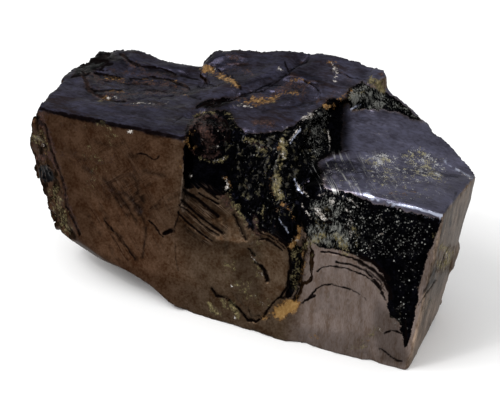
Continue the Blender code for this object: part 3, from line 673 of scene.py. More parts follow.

# Where the gloss is painted black, as a dark reflection and, in the hollow, as shade: the hollow, the rough middle,
# the gully and the band round the east shell. Each area is (how softly it ends, area).
BLACK_AREAS = [
    (3.0, [(37, 168), (46, 165), (52, 172), (54, 180), (44, 183), (39, 178)]),
    (1.8, [(183, 150), (186, 138), (184, 130), (190, 119), (200, 113), (214, 110), (230, 112), (236, 124), (245, 133),
           (262, 134), (283, 131), (300, 121), (318, 108), (334, 98), (337, 102), (337, 118), (335, 138), (334, 151),
           (326, 157), (315, 164), (313, 176), (318, 187), (330, 190), (345, 191), (365, 200), (400, 209), (443, 220),
           (434, 240), (425, 264), (420, 284), (415, 314), (411, 334), (406, 352), (403, 346), (402, 334), (397, 320),
           (390, 316), (386, 304), (389, 290), (384, 274), (370, 262), (356, 255), (346, 252), (338, 250), (320, 248),
           (310, 240), (304, 230), (302, 222), (300, 236), (296, 246), (291, 250), (286, 246), (273, 236), (260, 229),
           (250, 228), (247, 217), (240, 204), (231, 193), (224, 197), (214, 194), (205, 189), (196, 188), (184, 188)]),
    (5.0, [(328, 99), (343, 99), (342, 126), (341, 150), (326, 157)]),
    (5.0, [(304, 166), (318, 160), (321, 172), (325, 189), (312, 188)]),
    (5.0, [(228, 190), (240, 200), (250, 214), (262, 232), (252, 230), (240, 214), (230, 200)]),
    (2.0, [(345, 92), (352, 86), (362, 82), (372, 88), (386, 92), (396, 98), (410, 110), (424, 122), (412, 119),
           (396, 112), (372, 109), (350, 109)]),
    (2.0, [(287, 246), (302, 246), (302, 262), (298, 280), (292, 296), (286, 298), (289, 280), (290, 262)]),
    (2.5, [(72, 76), (82, 62), (94, 54), (108, 49), (115, 57), (106, 64), (98, 68), (88, 73)]),
    (2.0, [(193, 109), (200, 103), (210, 99), (226, 99), (236, 97), (230, 103), (220, 107), (211, 109), (204, 107)]),
]

# Crumbly ground: (roughness, area).
CRUMBLY_AREAS = [
    (1.0, [(232, 128), (262, 134), (300, 122), (318, 108), (340, 98), (344, 120), (330, 150), (304, 176), (300, 200),
           (304, 240), (290, 250), (262, 234), (246, 226), (240, 205), (228, 188), (230, 150)]),
    (0.9, [(184, 132), (198, 118), (216, 114), (236, 124), (232, 160), (200, 160), (186, 148)]),
    (0.12, [(76, 70), (84, 63), (108, 52), (122, 52), (108, 62), (96, 70), (84, 80)]),
    (0.5, [(96, 70), (180, 78), (190, 96), (120, 104), (92, 96)]),
    (0.7, [(345, 90), (362, 82), (390, 92), (424, 122), (396, 112), (350, 110)]),
    (0.6, [(300, 196), (350, 196), (350, 250), (305, 248)]),
    (0.5, [(205, 296), (300, 300), (400, 350), (410, 366), (300, 345), (200, 318)]),
    (0.6, [(428, 250), (455, 244), (455, 270), (432, 276)]),
    (0.5, [(236, 90), (300, 92), (322, 96), (318, 106), (250, 112)]),
    (0.6, [(292, 248), (304, 246), (300, 290), (288, 296)]),
]

# Small crumbs on the black gloss, painted lit in part as facets that catch the light: (density, area).
LIT_AREAS = [
    (0.8, [(240, 134), (262, 134), (300, 122), (308, 130), (306, 176), (300, 196),
           (280, 204), (248, 204), (240, 196), (232, 170)]),
    (0.5, [(248, 204), (300, 196), (300, 232), (270, 236), (250, 222)]),
    (0.55, [(304, 116), (318, 108), (328, 108), (330, 124), (324, 150), (304, 176)]),
    (0.45, [(222, 122), (234, 120), (244, 134), (238, 160), (222, 158)]),
    (0.9, [(304, 128), (310, 112), (318, 108), (314, 124), (308, 134)]),
    (0.25, [(345, 92), (362, 82), (386, 92), (424, 122), (396, 112), (350, 109)]),
    (0.3, [(190, 124), (220, 116), (226, 150), (200, 156)]),
    (0.7, [(244, 232), (254, 232), (268, 262), (262, 274), (250, 258)]),
    (0.4, [(290, 250), (304, 248), (300, 288), (290, 292)]),
    (0.5, [(386, 300), (404, 300), (410, 330), (392, 326)]),
]

# Round pale specks: (density, area).
SPECKED_AREAS = [
    (1.0, [(334, 200), (350, 198), (366, 206), (368, 254), (348, 252), (344, 222)]),
    (0.58, [(352, 206), (400, 212), (432, 224), (424, 250), (404, 262), (372, 258), (352, 250)]),
    (0.30, [(404, 262), (424, 250), (418, 290), (404, 300), (392, 280)]),
    (0.12, [(240, 134), (300, 124), (304, 176), (270, 236), (246, 216)]),
    (0.50, [(302, 112), (328, 106), (328, 150), (310, 172)]),
    (0.30, [(386, 300), (410, 296), (410, 330), (396, 326)]),
]

# Pale flecks scattered on the slate: (density, area).
FLECKED_AREAS = [
    (1.0, [(362, 157), (384, 152), (398, 158), (394, 168), (376, 168), (364, 164)]),
    (0.8, [(398, 152), (420, 146), (436, 154), (446, 166), (444, 184), (424, 182), (404, 164)]),
    (0.6, [(364, 166), (404, 162), (426, 182), (400, 190), (372, 186)]),
    (0.40, [(326, 166), (344, 158), (356, 168), (360, 190), (340, 194), (328, 190)]),
    (0.35, [(360, 160), (450, 156), (452, 196), (410, 206), (368, 194)]),
    (0.45, [(372, 130), (388, 130), (390, 140), (374, 140)]),
]

# Pale crust in streaks that run down the face: (density, area).
STREAKED_AREAS = [
    (0.85, [(310, 197), (322, 195), (342, 197), (350, 210), (340, 222), (306, 222)]),
    (0.95, [(306, 222), (340, 220), (350, 232), (352, 248), (330, 250), (306, 244)]),
    (0.5, [(346, 206), (360, 212), (362, 250), (350, 250)]),
    (1.0, [(345, 92), (362, 82), (386, 92), (424, 122), (396, 112), (350, 109)]),
    (0.8, [(304, 126), (318, 108), (328, 110), (326, 140), (310, 176)]),
    (0.25, [(352, 206), (436, 222), (426, 258), (404, 262), (352, 252)]),
    (0.30, [(306, 248), (352, 250), (380, 272), (384, 300), (360, 330), (310, 330), (300, 290)]),
]

# Tones that are darker than the rest of their face, painted shade in part: (strength, area).
SHADED_AREAS = [
    (0.50, [(210, 200), (226, 196), (240, 206), (252, 222), (262, 238), (240, 241), (222, 240), (212, 226)]),
    (0.70, [(228, 194), (236, 198), (252, 218), (263, 236), (254, 238), (240, 220)]),
    (0.40, [(355, 72), (368, 70), (370, 79), (357, 81)]),
    (0.20, [(307, 61), (321, 63), (320, 79), (309, 78)]),
    (0.52, [(206, 54), (232, 52), (252, 60), (250, 66), (230, 68), (210, 70)]),
    (0.72, [(282, 73), (300, 71), (320, 79), (324, 86), (306, 84), (286, 83)]),
    (0.45, [(300, 58), (310, 58), (308, 66), (298, 66)]),
    (0.45, [(160, 65), (176, 66), (194, 73), (192, 79), (174, 74), (160, 70)]),
    (0.50, [(82, 66), (96, 58), (110, 55), (112, 62), (98, 66), (86, 72)]),
    (0.30, [(84, 76), (96, 74), (98, 88), (104, 98), (92, 94), (85, 86)]),
    (0.20, [(428, 262), (446, 268), (440, 292), (426, 296)]),
    (0.22, [(180, 186), (200, 190), (222, 200), (238, 208), (244, 224), (240, 246), (216, 252), (192, 250),
            (178, 236)]),
    (0.45, [(376, 300), (400, 320), (410, 366), (380, 362), (372, 330)]),
    (0.25, [(232, 262), (258, 240), (262, 296), (236, 300)]),
    (0.25, [(296, 326), (372, 334), (372, 360), (300, 348)]),
    (0.12, [(208, 50), (252, 50), (252, 66), (206, 68)]),
    (0.88, [(333, 98), (350, 98), (350, 150), (329, 157)]),
    (0.30, [(312, 164), (330, 160), (332, 190), (316, 190)]),
    (0.25, [(420, 280), (436, 266), (440, 284), (426, 298)]),
    (0.85, [(201, 102), (212, 98), (228, 100), (232, 107), (216, 110), (203, 109)]),
    (0.45, [(228, 98), (240, 95), (250, 92), (250, 98), (236, 104)]),
    (0.55, [(108, 56), (124, 52), (130, 58), (120, 64), (108, 66)]),
    (0.45, [(190, 94), (200, 96), (204, 106), (194, 108)]),
    (0.35, [(262, 84), (280, 76), (290, 80), (276, 90)]),
    (0.35, [(236, 78), (246, 84), (244, 92), (234, 88)]),
    (0.55, [(222, 108), (230, 108), (234, 118), (226, 118)]),
]

# Tones that are paler than the rest of their face, painted light in part: (strength, area).
PALER_AREAS = [
    (0.40, [(236, 113), (262, 111), (254, 128), (246, 130)]),
    (0.25, [(326, 84), (344, 86), (340, 100), (326, 104)]),
    (0.44, [(88, 196), (120, 204), (176, 240), (200, 286), (150, 272), (100, 252)]),
    (0.16, [(60, 128), (150, 138), (180, 204), (176, 236), (110, 226), (74, 190)]),
    (0.36, [(146, 138), (184, 136), (180, 204), (150, 208)]),
    (0.35, [(262, 248), (286, 250), (286, 292), (266, 300), (260, 270)]),
    (0.14, [(178, 246), (230, 250), (236, 290), (200, 286)]),
    (0.28, [(396, 158), (470, 156), (440, 200), (380, 196)]),
    (0.46, [(362, 152), (400, 150), (400, 196), (366, 192)]),
    (0.22, [(326, 162), (360, 156), (366, 192), (330, 190)]),
    (0.15, [(300, 300), (340, 320), (350, 340), (300, 330)]),
    (0.36, [(46, 102), (62, 84), (84, 78), (92, 96), (104, 106), (64, 110)]),
    (0.20, [(300, 64), (330, 60), (376, 78), (352, 92), (322, 84)]),
    (0.30, [(404, 300), (432, 286), (430, 320), (412, 352), (402, 344)]),
    (0.36, [(176, 88), (204, 84), (234, 90), (206, 100), (190, 110), (174, 104)]),
    (0.34, [(322, 66), (350, 70), (352, 84), (330, 84)]),
    (0.20, [(206, 70), (240, 88), (232, 96), (204, 88)]),
]

# Where the skin is levelled: (strength, area).
LEVELLED_AREAS = [
    (1.0, [(352, 142), (400, 134), (440, 138), (480, 152), (474, 172), (440, 172), (400, 170), (356, 168)]),
]


# ---------------------------------------------------------------- helpers


def linear(colour):
    """A screen colour from 0 to 255, as the renderer's linear light."""
    share = np.asarray(colour, float) / 255.0
    return np.where(share <= 0.04045, share / 12.92, ((share + 0.055) / 1.055) ** 2.4)


def solid(colour):
    """A screen colour from 0 to 255, as an opaque colour of the renderer's."""
    return tuple(linear(colour)) + (1.0,)


class ViewFrame:
    """The camera's frame: where a point of the stone shows in it."""

    def __init__(self):
        azimuth, elevation = math.radians(VIEW_AZIMUTH), math.radians(VIEW_ELEVATION)
        level = math.cos(elevation)
        self.back = np.array((math.sin(azimuth) * level, -math.cos(azimuth) * level, math.sin(elevation)))
        self.right = np.array((math.cos(azimuth), math.sin(azimuth), 0.0))
        self.up = np.cross(self.back, self.right)
        self.eye = np.array(VIEW_TARGET) + self.back * VIEW_DISTANCE
        self.focal = FRAME_WIDTH * VIEW_LENS / VIEW_SENSOR

    def place(self, points):
        """Points in millimetres as places in the frame."""
        arm = points - self.eye
        depth = -(arm @ self.back)
        u = FRAME_WIDTH / 2.0 + self.focal * (arm @ self.right) / depth
        v = FRAME_HEIGHT / 2.0 - self.focal * (arm @ self.up) / depth
        return np.stack((u, v), axis=-1)

    def meet(self, place, tree):
        """The point of the stone that shows at this place, in millimetres, and the way that its face looks."""
        u, v = place
        ray = self.right * (u - FRAME_WIDTH / 2.0) - self.up * (v - FRAME_HEIGHT / 2.0) - self.back * self.focal
        point, facing, _, _ = tree.ray_cast(Vector(self.eye), Vector(ray).normalized())
        if point is None:
            raise RuntimeError(f"nothing of the stone shows at {place}")
        return point, facing


def ray_tree(points, mesh):
    """A mesh with these points as a tree for casting rays."""
    return BVHTree.FromPolygons([tuple(point) for point in points], [tuple(face.vertices) for face in mesh.polygons])


def line_ways(node, view):
    """The ways across and along each family of fine lines, where its strokes lie on the CAD node."""
    tree = ray_tree([vertex.co / MM for vertex in node.data.vertices], node.data)
    ways = []
    for strokes, *_ in LINE_FAMILIES:
        across, along = Vector(), Vector()
        for start, end, ground in strokes:
            run = (view.meet(end, tree)[0] - view.meet(start, tree)[0]).normalized()
            across += view.meet(ground, tree)[1].cross(run).normalized()
            along += run
        ways.append((across.normalized(), along.normalized()))
    return ways


def ease(value, low, high):
    """0 below low, 1 above high, and a smooth step between them."""
    share = np.clip((value - low) / (high - low), 0.0, 1.0)
    return share * share * (3.0 - 2.0 * share)


def distance_to(places, path, closed=False):
    """How far each place is from a path of straight runs."""
    ends = list(zip(path, path[1:])) + ([(path[-1], path[0])] if closed else [])
    best = np.full(len(places), np.inf)
    for start, end in ends:
        start, run = np.array(start, float), np.array(end, float) - np.array(start, float)
        share = np.clip((places - start) @ run / (run @ run), 0.0, 1.0)
        best = np.minimum(best, np.linalg.norm(places - start - share[:, None] * run, axis=1))
    return best


def inside(places, area, soft):
    """1 within the area and 0 outside it, easing over the soft distance about its edge."""
    u, v = places[:, 0], places[:, 1]
    within = np.zeros(len(places), bool)
    for (u1, v1), (u2, v2) in zip(area, area[1:] + area[:1]):
        if v1 != v2:
            within ^= ((v1 > v) != (v2 > v)) & (u < (u2 - u1) * (v - v1) / (v2 - v1) + u1)
    edge = distance_to(places, area, closed=True)
    return ease(np.where(within, edge, -edge), -soft, soft)


def swell(points, size, seed):
    """Soft noise from about -1 to 1 that changes over this many millimetres."""
    shift = Vector((seed * 7.3, seed * 3.1, seed * 5.7))
    return np.array([noise.noise(Vector(p) / size + shift) for p in points]) * 1.4


def facets(points, size, seed, stretch=(1.0, 1.0, 1.0)):
    """Broken relief from about -1 to 1: each cell of the rock is one small tilted face, with a number of its own."""
    rng = np.random.default_rng(seed)
    points = points * np.array(stretch)
    low, high = (np.array(corner) / MM * np.array(stretch) for corner in CAD_BOX)
    axes = [np.arange(a - 2.0 * size, b + 2.0 * size, size) for a, b in zip(low, high)]
    cells = np.stack(np.meshgrid(*axes, indexing="ij"), axis=-1).reshape(-1, 3)
    cells = cells + rng.uniform(-0.48, 0.48, cells.shape) * size
    tilts = rng.normal(0.0, 0.55, cells.shape)
    levels = rng.uniform(-0.5, 0.5, len(cells))
    numbers = rng.random(len(cells))
    tree = kdtree.KDTree(len(cells))
    for number, cell in enumerate(cells):
        tree.insert(cell, number)
    tree.balance()
    cell = np.array([tree.find(p)[1] for p in points])
    return levels[cell] + ((points - cells[cell]) * tilts[cell]).sum(axis=1) / size, numbers[cell]


class Skin:
    """The stone's points and normals as arrays in millimetres, while it is worked."""

    def __init__(self, mesh):
        self.mesh = mesh
        count = len(mesh.vertices)
        flat = np.empty(count * 3, np.float32)
        mesh.vertices.foreach_get("co", flat)
        self.points = flat.reshape(-1, 3).astype(float) / MM
        pairs = np.empty(len(mesh.edges) * 2, np.int32)
        mesh.edges.foreach_get("vertices", pairs)
        self.edges = pairs.reshape(-1, 2)
        self.refresh()

    def refresh(self):
        """Writes the points back to the mesh and reads its new normals."""
        self.mesh.vertices.foreach_set("co", (self.points * MM).astype(np.float32).ravel())
        self.mesh.update()
        flat = np.empty(len(self.points) * 3, np.float32)
        self.mesh.vertex_normals.foreach_get("vector", flat)
        self.normals = flat.reshape(-1, 3).astype(float)

    def push(self, depth):
        """Moves each point along its normal: outwards where depth is positive."""
        self.points += self.normals * depth[:, None]
        self.refresh()

    def gather(self, values, weights):
        """Each point's weighted mean of its neighbours' values."""
        a, b = self.edges.T
        count = len(self.points)
        total = np.bincount(a, weights, count) + np.bincount(b, weights, count)
        summed = [
            np.bincount(a, weights * values[b, k], count) + np.bincount(b, weights * values[a, k], count)
            for k in range(values.shape[1])
        ]
        return np.stack(summed, axis=-1) / np.maximum(total, 1e-9)[:, None]

    def relax(self, rounds, sharpness):
        """Smooths the faces and leaves the edges between them."""
        for _ in range(rounds):
            a, b = self.edges.T
            turn = 1.0 - (self.normals[a] * self.normals[b]).sum(axis=1)
            weights = np.exp(-turn / sharpness) + 1e-4
            self.points += 0.5 * (self.gather(self.points, weights) - self.points)
            self.refresh()

    def level(self, share, rounds):
        """Evens out hollows and lips where share is above 0."""
        a, b = self.edges.T
        touched = (share[a] > 0.0) | (share[b] > 0.0)
        every, self.edges = self.edges, self.edges[touched]
        weights = np.ones(len(self.edges))
        for _ in range(rounds):
            self.points += 0.5 * share[:, None] * (self.gather(self.points, weights) - self.points)
        self.edges = every
        self.refresh()

    def broad_normals(self, rounds):
        """The normals with small relief averaged out of them."""
        normals = self.normals.copy()
        weights = np.ones(len(self.edges))
        for _ in range(rounds):
            normals = 0.5 * normals + 0.5 * self.gather(normals, weights)
        return normals / np.linalg.norm(normals, axis=1)[:, None]

    def turn_outwards(self):
        """How sharply the skin turns at each point, per millimetre: above 0 on ridges, below in grooves."""
        a, b = self.edges.T
        run = self.points[b] - self.points[a]
        turn = ((self.normals[b] - self.normals[a]) * run).sum(axis=1) / np.maximum((run * run).sum(axis=1), 1e-4)
        count = len(self.points)
        ends = np.bincount(a, minlength=count) + np.bincount(b, minlength=count)
        turn = (np.bincount(a, turn, count) + np.bincount(b, turn, count)) / np.maximum(ends, 1)
        return 0.5 * turn + 0.5 * self.gather(turn[:, None], np.ones(len(self.edges)))[:, 0]

    def shown(self, view):
        """1 where a point shows to the camera, and 0 where the stone hides it."""
        tree = ray_tree(self.points, self.mesh)
        eye = Vector(view.eye)
        arms = self.points - view.eye
        facing = (self.normals * -arms).sum(axis=1) > 0.0
        shown = np.zeros(len(self.points))
        for number in np.nonzero(facing)[0]:
            arm = Vector(arms[number])
            distance = arm.length
            hit = tree.ray_cast(eye, arm / distance)[3]
            shown[number] = hit is None or hit > distance - SIGHT_SLACK
        return shown


def painted(places, strokes, soft=1.0):
    """How strongly a set of strokes covers each place, from 0 to 1, fading outwards."""
    cover = np.zeros(len(places))
    for half_width, strength, path in strokes:
        away = distance_to(places, path)
        cover = np.maximum(cover, strength * (1.0 - ease(away, half_width * 0.2, half_width * 1.3 + soft)))
    return cover


def drawn(places, lines):
    """How dark a set of fine lines is at each place, from 0 to 1."""
    cover = np.zeros(len(places))
    for line in lines:
        half_width, strength, path = line[0], line[-2], line[-1]
        away = distance_to(places, path)
        cover = np.maximum(cover, strength * (1.0 - ease(away, half_width * 0.5, half_width + 0.7)))
    return cover


def in_areas(places, areas, soft):
    """The strongest of a set of areas at each place: (strength, area)."""
    cover = np.zeros(len(places))
    for strength, area in areas:
        cover = np.maximum(cover, strength * inside(places, area, soft))
    return cover


def store(mesh, name, columns):
    """Keeps four values at each vertex as a colour attribute."""
    values = np.stack(columns, axis=-1).astype(np.float32)
    attribute = mesh.attributes.new(name, "FLOAT_COLOR", "POINT")
    attribute.data.foreach_set("color", values.ravel())


def settle(piece):
    """Makes the piece's modifiers permanent."""
    graph = bpy.context.evaluated_depsgraph_get()
    mesh = bpy.data.meshes.new_from_object(piece.evaluated_get(graph))
    piece.modifiers.clear()
    old = piece.data
    piece.data = mesh
    bpy.data.meshes.remove(old)


# ---------------------------------------------------------------- the skin's shape


def skin_of(node, name):
    """A closed copy of the CAD node's mesh as a new object."""
    shape = bmesh.new()
    shape.from_mesh(node.data)
    bmesh.ops.remove_doubles(shape, verts=shape.verts, dist=MERGE_DISTANCE)
    mesh = bpy.data.meshes.new(name)
    shape.to_mesh(mesh)
    shape.free()
    piece = bpy.data.objects.new(name, mesh)
    bpy.context.scene.collection.objects.link(piece)
    return piece


def rebuild(piece, grain):
    """Gives the piece a skin of even quads of this size, in metres."""
    remesh = piece.modifiers.new("grain", "REMESH")
    remesh.mode = "VOXEL"
    remesh.voxel_size = grain
    settle(piece)


def wander(points, places):
    """The places, shaken a little so that no drawn edge is smooth."""
    shake = np.zeros_like(places)
    for size, reach, seeds in SHAKES:
        shake += np.stack([swell(points, size, seed) for seed in seeds], axis=-1) * reach
    return places + shake


def work_relief(skin, view, strength):
    """Fine relief: clefts, ribs, crumble and the grain that no cleavage is without. Returns what the camera sees."""
    shown = skin.shown(view)
    skin.level(in_areas(view.place(skin.points), LEVELLED_AREAS, SOFT_EDGE) * shown, LEVEL_ROUNDS)
    points = skin.points
    places = view.place(points)
    shaken = wander(points, places)
    broad = skin.broad_normals(12)

    depth = np.zeros(len(points))
    for half_width, deep, _, path in CLEFTS:
        away = distance_to(0.5 * (shaken + places), path)
        depth = np.maximum(depth, deep * (1.0 - ease(away, 0.0, half_width + 1.0)))
    for half_width, darkness, path in RIB_LINES:
        away = distance_to(places, path)
        depth = np.maximum(depth, RIB_DEPTH * darkness * (1.0 - ease(away, 0.0, half_width + 1.4)))

    west, back, up = ease(-broad[:, 0], 0.35, 0.6), ease(broad[:, 1], 0.2, 0.5), broad[:, 2]
    crumbly = in_areas(shaken, CRUMBLY_AREAS, FIRM_EDGE) * shown
    crumbly = np.maximum(crumbly, 0.75 * np.maximum(west, back) * (1.0 - shown))
    crumbly = np.maximum(crumbly, 0.3 * west * (up < 0.6))
    blocks = LARGE_CELL_RELIEF * facets(points, *LARGE_CELLS)[0] + SMALL_CELL_RELIEF * facets(points, *SMALL_CELLS)[0]
    lumps = FLANK_CELL_RELIEF * facets(points, *FLANK_CELLS)[0] + FLANK_SWELL_RELIEF * swell(points, *FLANK_SWELL)
    grain = GRAIN_RELIEF * swell(points, *GRAIN_SWELL)
    top = ease(up, 0.7, 0.85) * (points[:, 2] > PLATES_ABOVE)
    plates = PLATE_RELIEF * facets(points, *PLATE_CELLS)[0] * top
    relief = -depth * shown + crumbly * blocks + west * lumps + grain + plates * (1.0 - crumbly)
    skin.push(strength * relief)
    return shown


def keep_inside(skin, low, high):
    """Holds every point inside the solid's box, and flattens the foot."""
    low, high = np.array(low) / MM, np.array(high) / MM
    skin.points = np.clip(skin.points, low, high)
    skin.refresh()


def thin_out(piece, shown, triangles):
    """Leaves fewer facets on the sides that the camera doesn't see."""
    count = sum(len(face.vertices) - 2 for face in piece.data.polygons)
    if count > triangles:
        spare = piece.vertex_groups.new(name="spare")
        spare.add([int(number) for number in np.nonzero(shown < 0.5)[0]], 1.0, "REPLACE")
        decimate = piece.modifiers.new("facets", "DECIMATE")
        decimate.ratio = triangles / count
        decimate.vertex_group = "spare"
        decimate.vertex_group_factor = 0.0
        settle(piece)
        piece.vertex_groups.clear()


# ---------------------------------------------------------------- the skin's colours


def face_tone(points, slate, end, settings):
    """The tone of each face: browns on the front, paler in the eastern shell and round its end, slate on the tops.

    The browns are a painted reflection of a brown table, and the slate a painted reflection of a pale bluish sky.
    """
    along, up = points[:, 0], points[:, 2]

    def shift(before, after, share):
        return before * (1.0 - share[:, None]) + after * share[:, None]

    east = ease(along, *EAST_SHELL)
    low = 1.0 - ease(up, *LOW_FRONT)
    foot = 1.0 - ease(up, *END_FOOT)
    tone = shift(linear(settings.west_tone), linear(settings.middle_tone), ease(along, *MIDDLE_FRONT))
    tone = shift(tone, linear(settings.east_tone), east)
    tone = tone * (1.0 + LOW_FRONT_GAIN * low * (1.0 - east))[:, None]
    tone = shift(tone, linear(settings.end_tone) * (1.0 + END_FOOT_GAIN * foot)[:, None], end)
    top = shift(linear(settings.slate_west), linear(settings.slate_east), ease(along, *EAST_TOP))
    return shift(tone, top, slate)


def paint_skin(skin, view, settings):
    """Stores the tone, the stains and the finish of each point as attributes that the material reads.

    What the camera doesn't see is finished too, in patches of the same kinds of face, stain and crumb.
    """
    points = skin.points
    places = view.place(points)
    shaken = wander(points, places)
    half_shaken = 0.5 * (places + shaken)
    nearly = 0.8 * places + 0.2 * shaken
    shown = skin.shown(view)
    hidden = 1.0 - shown
    broad = skin.broad_normals(3)
    east, back, up = broad.T
    patches = swell(points, *PATCHES)
    spots = swell(points, *SPOTS)

    def seen(areas, soft):
        return in_areas(shaken, areas, soft) * shown

    # the kinds of face; the black of the drawn areas is a painted dark reflection
    black = np.zeros(len(points))
    for soft, area in BLACK_AREAS:
        black = np.maximum(black, inside(shaken, area, soft))
    calm = ease(swell(points, *CALM_PATCHES) + 0.4 * patches, 0.0, 0.25) * hidden
    black_hidden = ease(patches + 0.5 * spots + 0.3 * up, -0.2, 0.3)
    black = black * shown + 0.9 * black_hidden * hidden * (1.0 - calm)
    high = points[:, 2] > np.where(points[:, 0] < 0.0, *TOPS_ABOVE)
    shelf = ease(points[:, 0], *SHELF_START) * (east < 0.4) * shown
    # the slate of the up-facing tops is a painted reflection of a pale bluish sky
    slate = np.where(high, ease(up + 0.26 * shelf, 0.30, 0.50), 0.0) * (1.0 - black * shown)
    black = black * (1.0 - slate * hidden)
    end = ease(east, 0.62, 0.80) * (1.0 - slate) * (1.0 - black)
    flank = ease(-east, 0.30, 0.50) * (1.0 - slate) * (1.0 - black * shown)
    flank = np.maximum(flank, ease(back, 0.1, 0.4) * (1.0 - slate) * (1.0 - black)) * (1.0 - calm)
    store(skin.mesh, "faces", (slate, black, end, flank))

    # their tones
    # the shaded and paler areas: painted shade and painted light in part, over the face's tone
    shade = (1.0 - seen(SHADED_AREAS, SOFT_EDGE)) * (1.0 + seen(PALER_AREAS, WIDE_EDGE))
    shade *= 1.0 - 0.17 * ease(patches, -0.1, 0.7) * slate * (points[:, 0] < SHELF_START[1])
    shade *= (1.0 - drawn(nearly, SHADE_LINES) * shown) * (1.0 + drawn(nearly, LIGHT_LINES) * shown)
    tone = face_tone(points, slate, end, settings) * shade[:, None]
    store(skin.mesh, "tone", (*tone.T, seen(FLECKED_AREAS, SOFT_EDGE)))

    # cracks with their painted shade, scratches, crumble and glints painted along the edges
    # painted shade in the clefts and between the ribs
    dark = np.maximum(drawn(half_shaken, CLEFTS), drawn(nearly, RIB_LINES)) * shown
    # a dark line of painted shade along the bevel of the west table's front edge
    bevel = ease(up, 0.16, 0.34) * (1.0 - ease(up, 0.82, 0.96))
    dark = np.maximum(dark, 0.9 * (1.0 - ease(distance_to(places, TABLE_RIM), 4.0, 6.0)) * bevel * shown)
    crumbly = np.maximum(seen(CRUMBLY_AREAS, FIRM_EDGE), 0.7 * hidden * (1.0 - calm))
    crumbly = np.maximum(crumbly, flank)
    store(skin.mesh, "finish", (crumbly, drawn(half_shaken, PAINTED_GLINTS) * shown, dark, skin.turn_outwards()))
    store(skin.mesh, "lines", [seen(family[-1], SOFT_EDGE) for family in LINE_FAMILIES])

    # stains and crumbs
    ochre = painted(shaken, OCHRE) * shown + 0.55 * ease(spots - 0.3 * patches, 0.62, 1.0) * hidden
    olive = painted(shaken, OLIVE) * shown + 0.60 * ease(-spots + 0.3 * patches, 0.55, 0.95) * hidden
    pale = painted(half_shaken, PALE, 0.5) * shown
    rust = painted(shaken, RUST) * shown + 0.5 * ease(-patches, 0.3, 0.8) * hidden
    store(skin.mesh, "stains", (ochre, olive, pale, rust))
    lit = seen(LIT_AREAS, FIRM_EDGE) + 0.5 * hidden * black
    specked = seen(SPECKED_AREAS, WIDE_EDGE) + 0.12 * hidden * black
    cell = 0.7 * facets(points, *SMALL_CELLS)[1] + 0.3 * facets(points, *LARGE_CELLS)[1]
    store(skin.mesh, "crumbs", (lit, specked, seen(STREAKED_AREAS, SOFT_EDGE), cell))


# ---------------------------------------------------------------- materials


def new_group(name, inputs, outputs):
    """An empty shader group with these sockets: {name: (type, default)}."""
    group = bpy.data.node_groups.new(name, "ShaderNodeTree")
    for direction, sockets in (("INPUT", inputs), ("OUTPUT", outputs)):
        for label, (kind, default) in sockets.items():
            socket = group.interface.new_socket(name=label, in_out=direction, socket_type=f"NodeSocket{kind}")
            if default is not None:
                socket.default_value = default
    return group, group.nodes.new("NodeGroupInput").outputs, group.nodes.new("NodeGroupOutput").inputs


class Wiring:
    """Short ways to place and join nodes in one tree."""

    def __init__(self, tree):
        self.tree = tree

    def node(self, kind, values=None, **settings):
        """A new node with these settings, and with these values or links at its sockets."""
        made = self.tree.nodes.new(kind)
        for name, value in settings.items():
            setattr(made, name, value)
        for socket, value in (values or {}).items():
            self.feed(value, made.inputs[socket])
        return made

    def feed(self, value, socket):
        """Brings a link or a plain value to a socket."""
        if isinstance(value, bpy.types.NodeSocket):
            self.tree.links.new(value, socket)
        else:
            socket.default_value = value

    def maths(self, operation, a, b=0.0, clamp=False):
        """One step of arithmetic."""
        return self.node("ShaderNodeMath", {0: a, 1: b}, operation=operation, use_clamp=clamp).outputs[0]

    def plus(self, a, b, clamp=False):
        return self.maths("ADD", a, b, clamp)

    def minus(self, a, b, clamp=False):
        return self.maths("SUBTRACT", a, b, clamp)

    def times(self, a, b, clamp=False):
        return self.maths("MULTIPLY", a, b, clamp)

    def most(self, a, b, clamp=False):
        return self.maths("MAXIMUM", a, b, clamp)

    def vector(self, operation, a, b, output=0):
        """One step of arithmetic on vectors."""
        return self.node("ShaderNodeVectorMath", {0: a, 1: b}, operation=operation).outputs[output]

    def blend(self, share, a, b, way="MIX"):
        """Colour a where share is 0, and colour b where it is 1."""
        mixed = self.node("ShaderNodeMix", data_type="RGBA", blend_type=way, clamp_factor=True)
        for socket, value in ((0, share), (6, a), (7, b)):
            self.feed(value, mixed.inputs[socket])
        return mixed.outputs[2]

    def between(self, value, low, high):
        """0 at low, 1 at high, and a smooth step between them."""
        steps = self.node("ShaderNodeMapRange", {0: value, 1: low, 2: high}, interpolation_type="SMOOTHSTEP")
        return steps.outputs[0]

    def noise(self, place, scale, detail=3.0, rough=0.6, output=0):
        """Noise with this many swells to the metre."""
        values = {"Vector": place, "Scale": scale, "Detail": detail, "Roughness": rough}
        return self.node("ShaderNodeTexNoise", values).outputs[output]

    def spread(self, value, reach):
        """Centres a noise on 0 and widens it to this reach."""
        return self.times(self.minus(value, 0.5), reach)


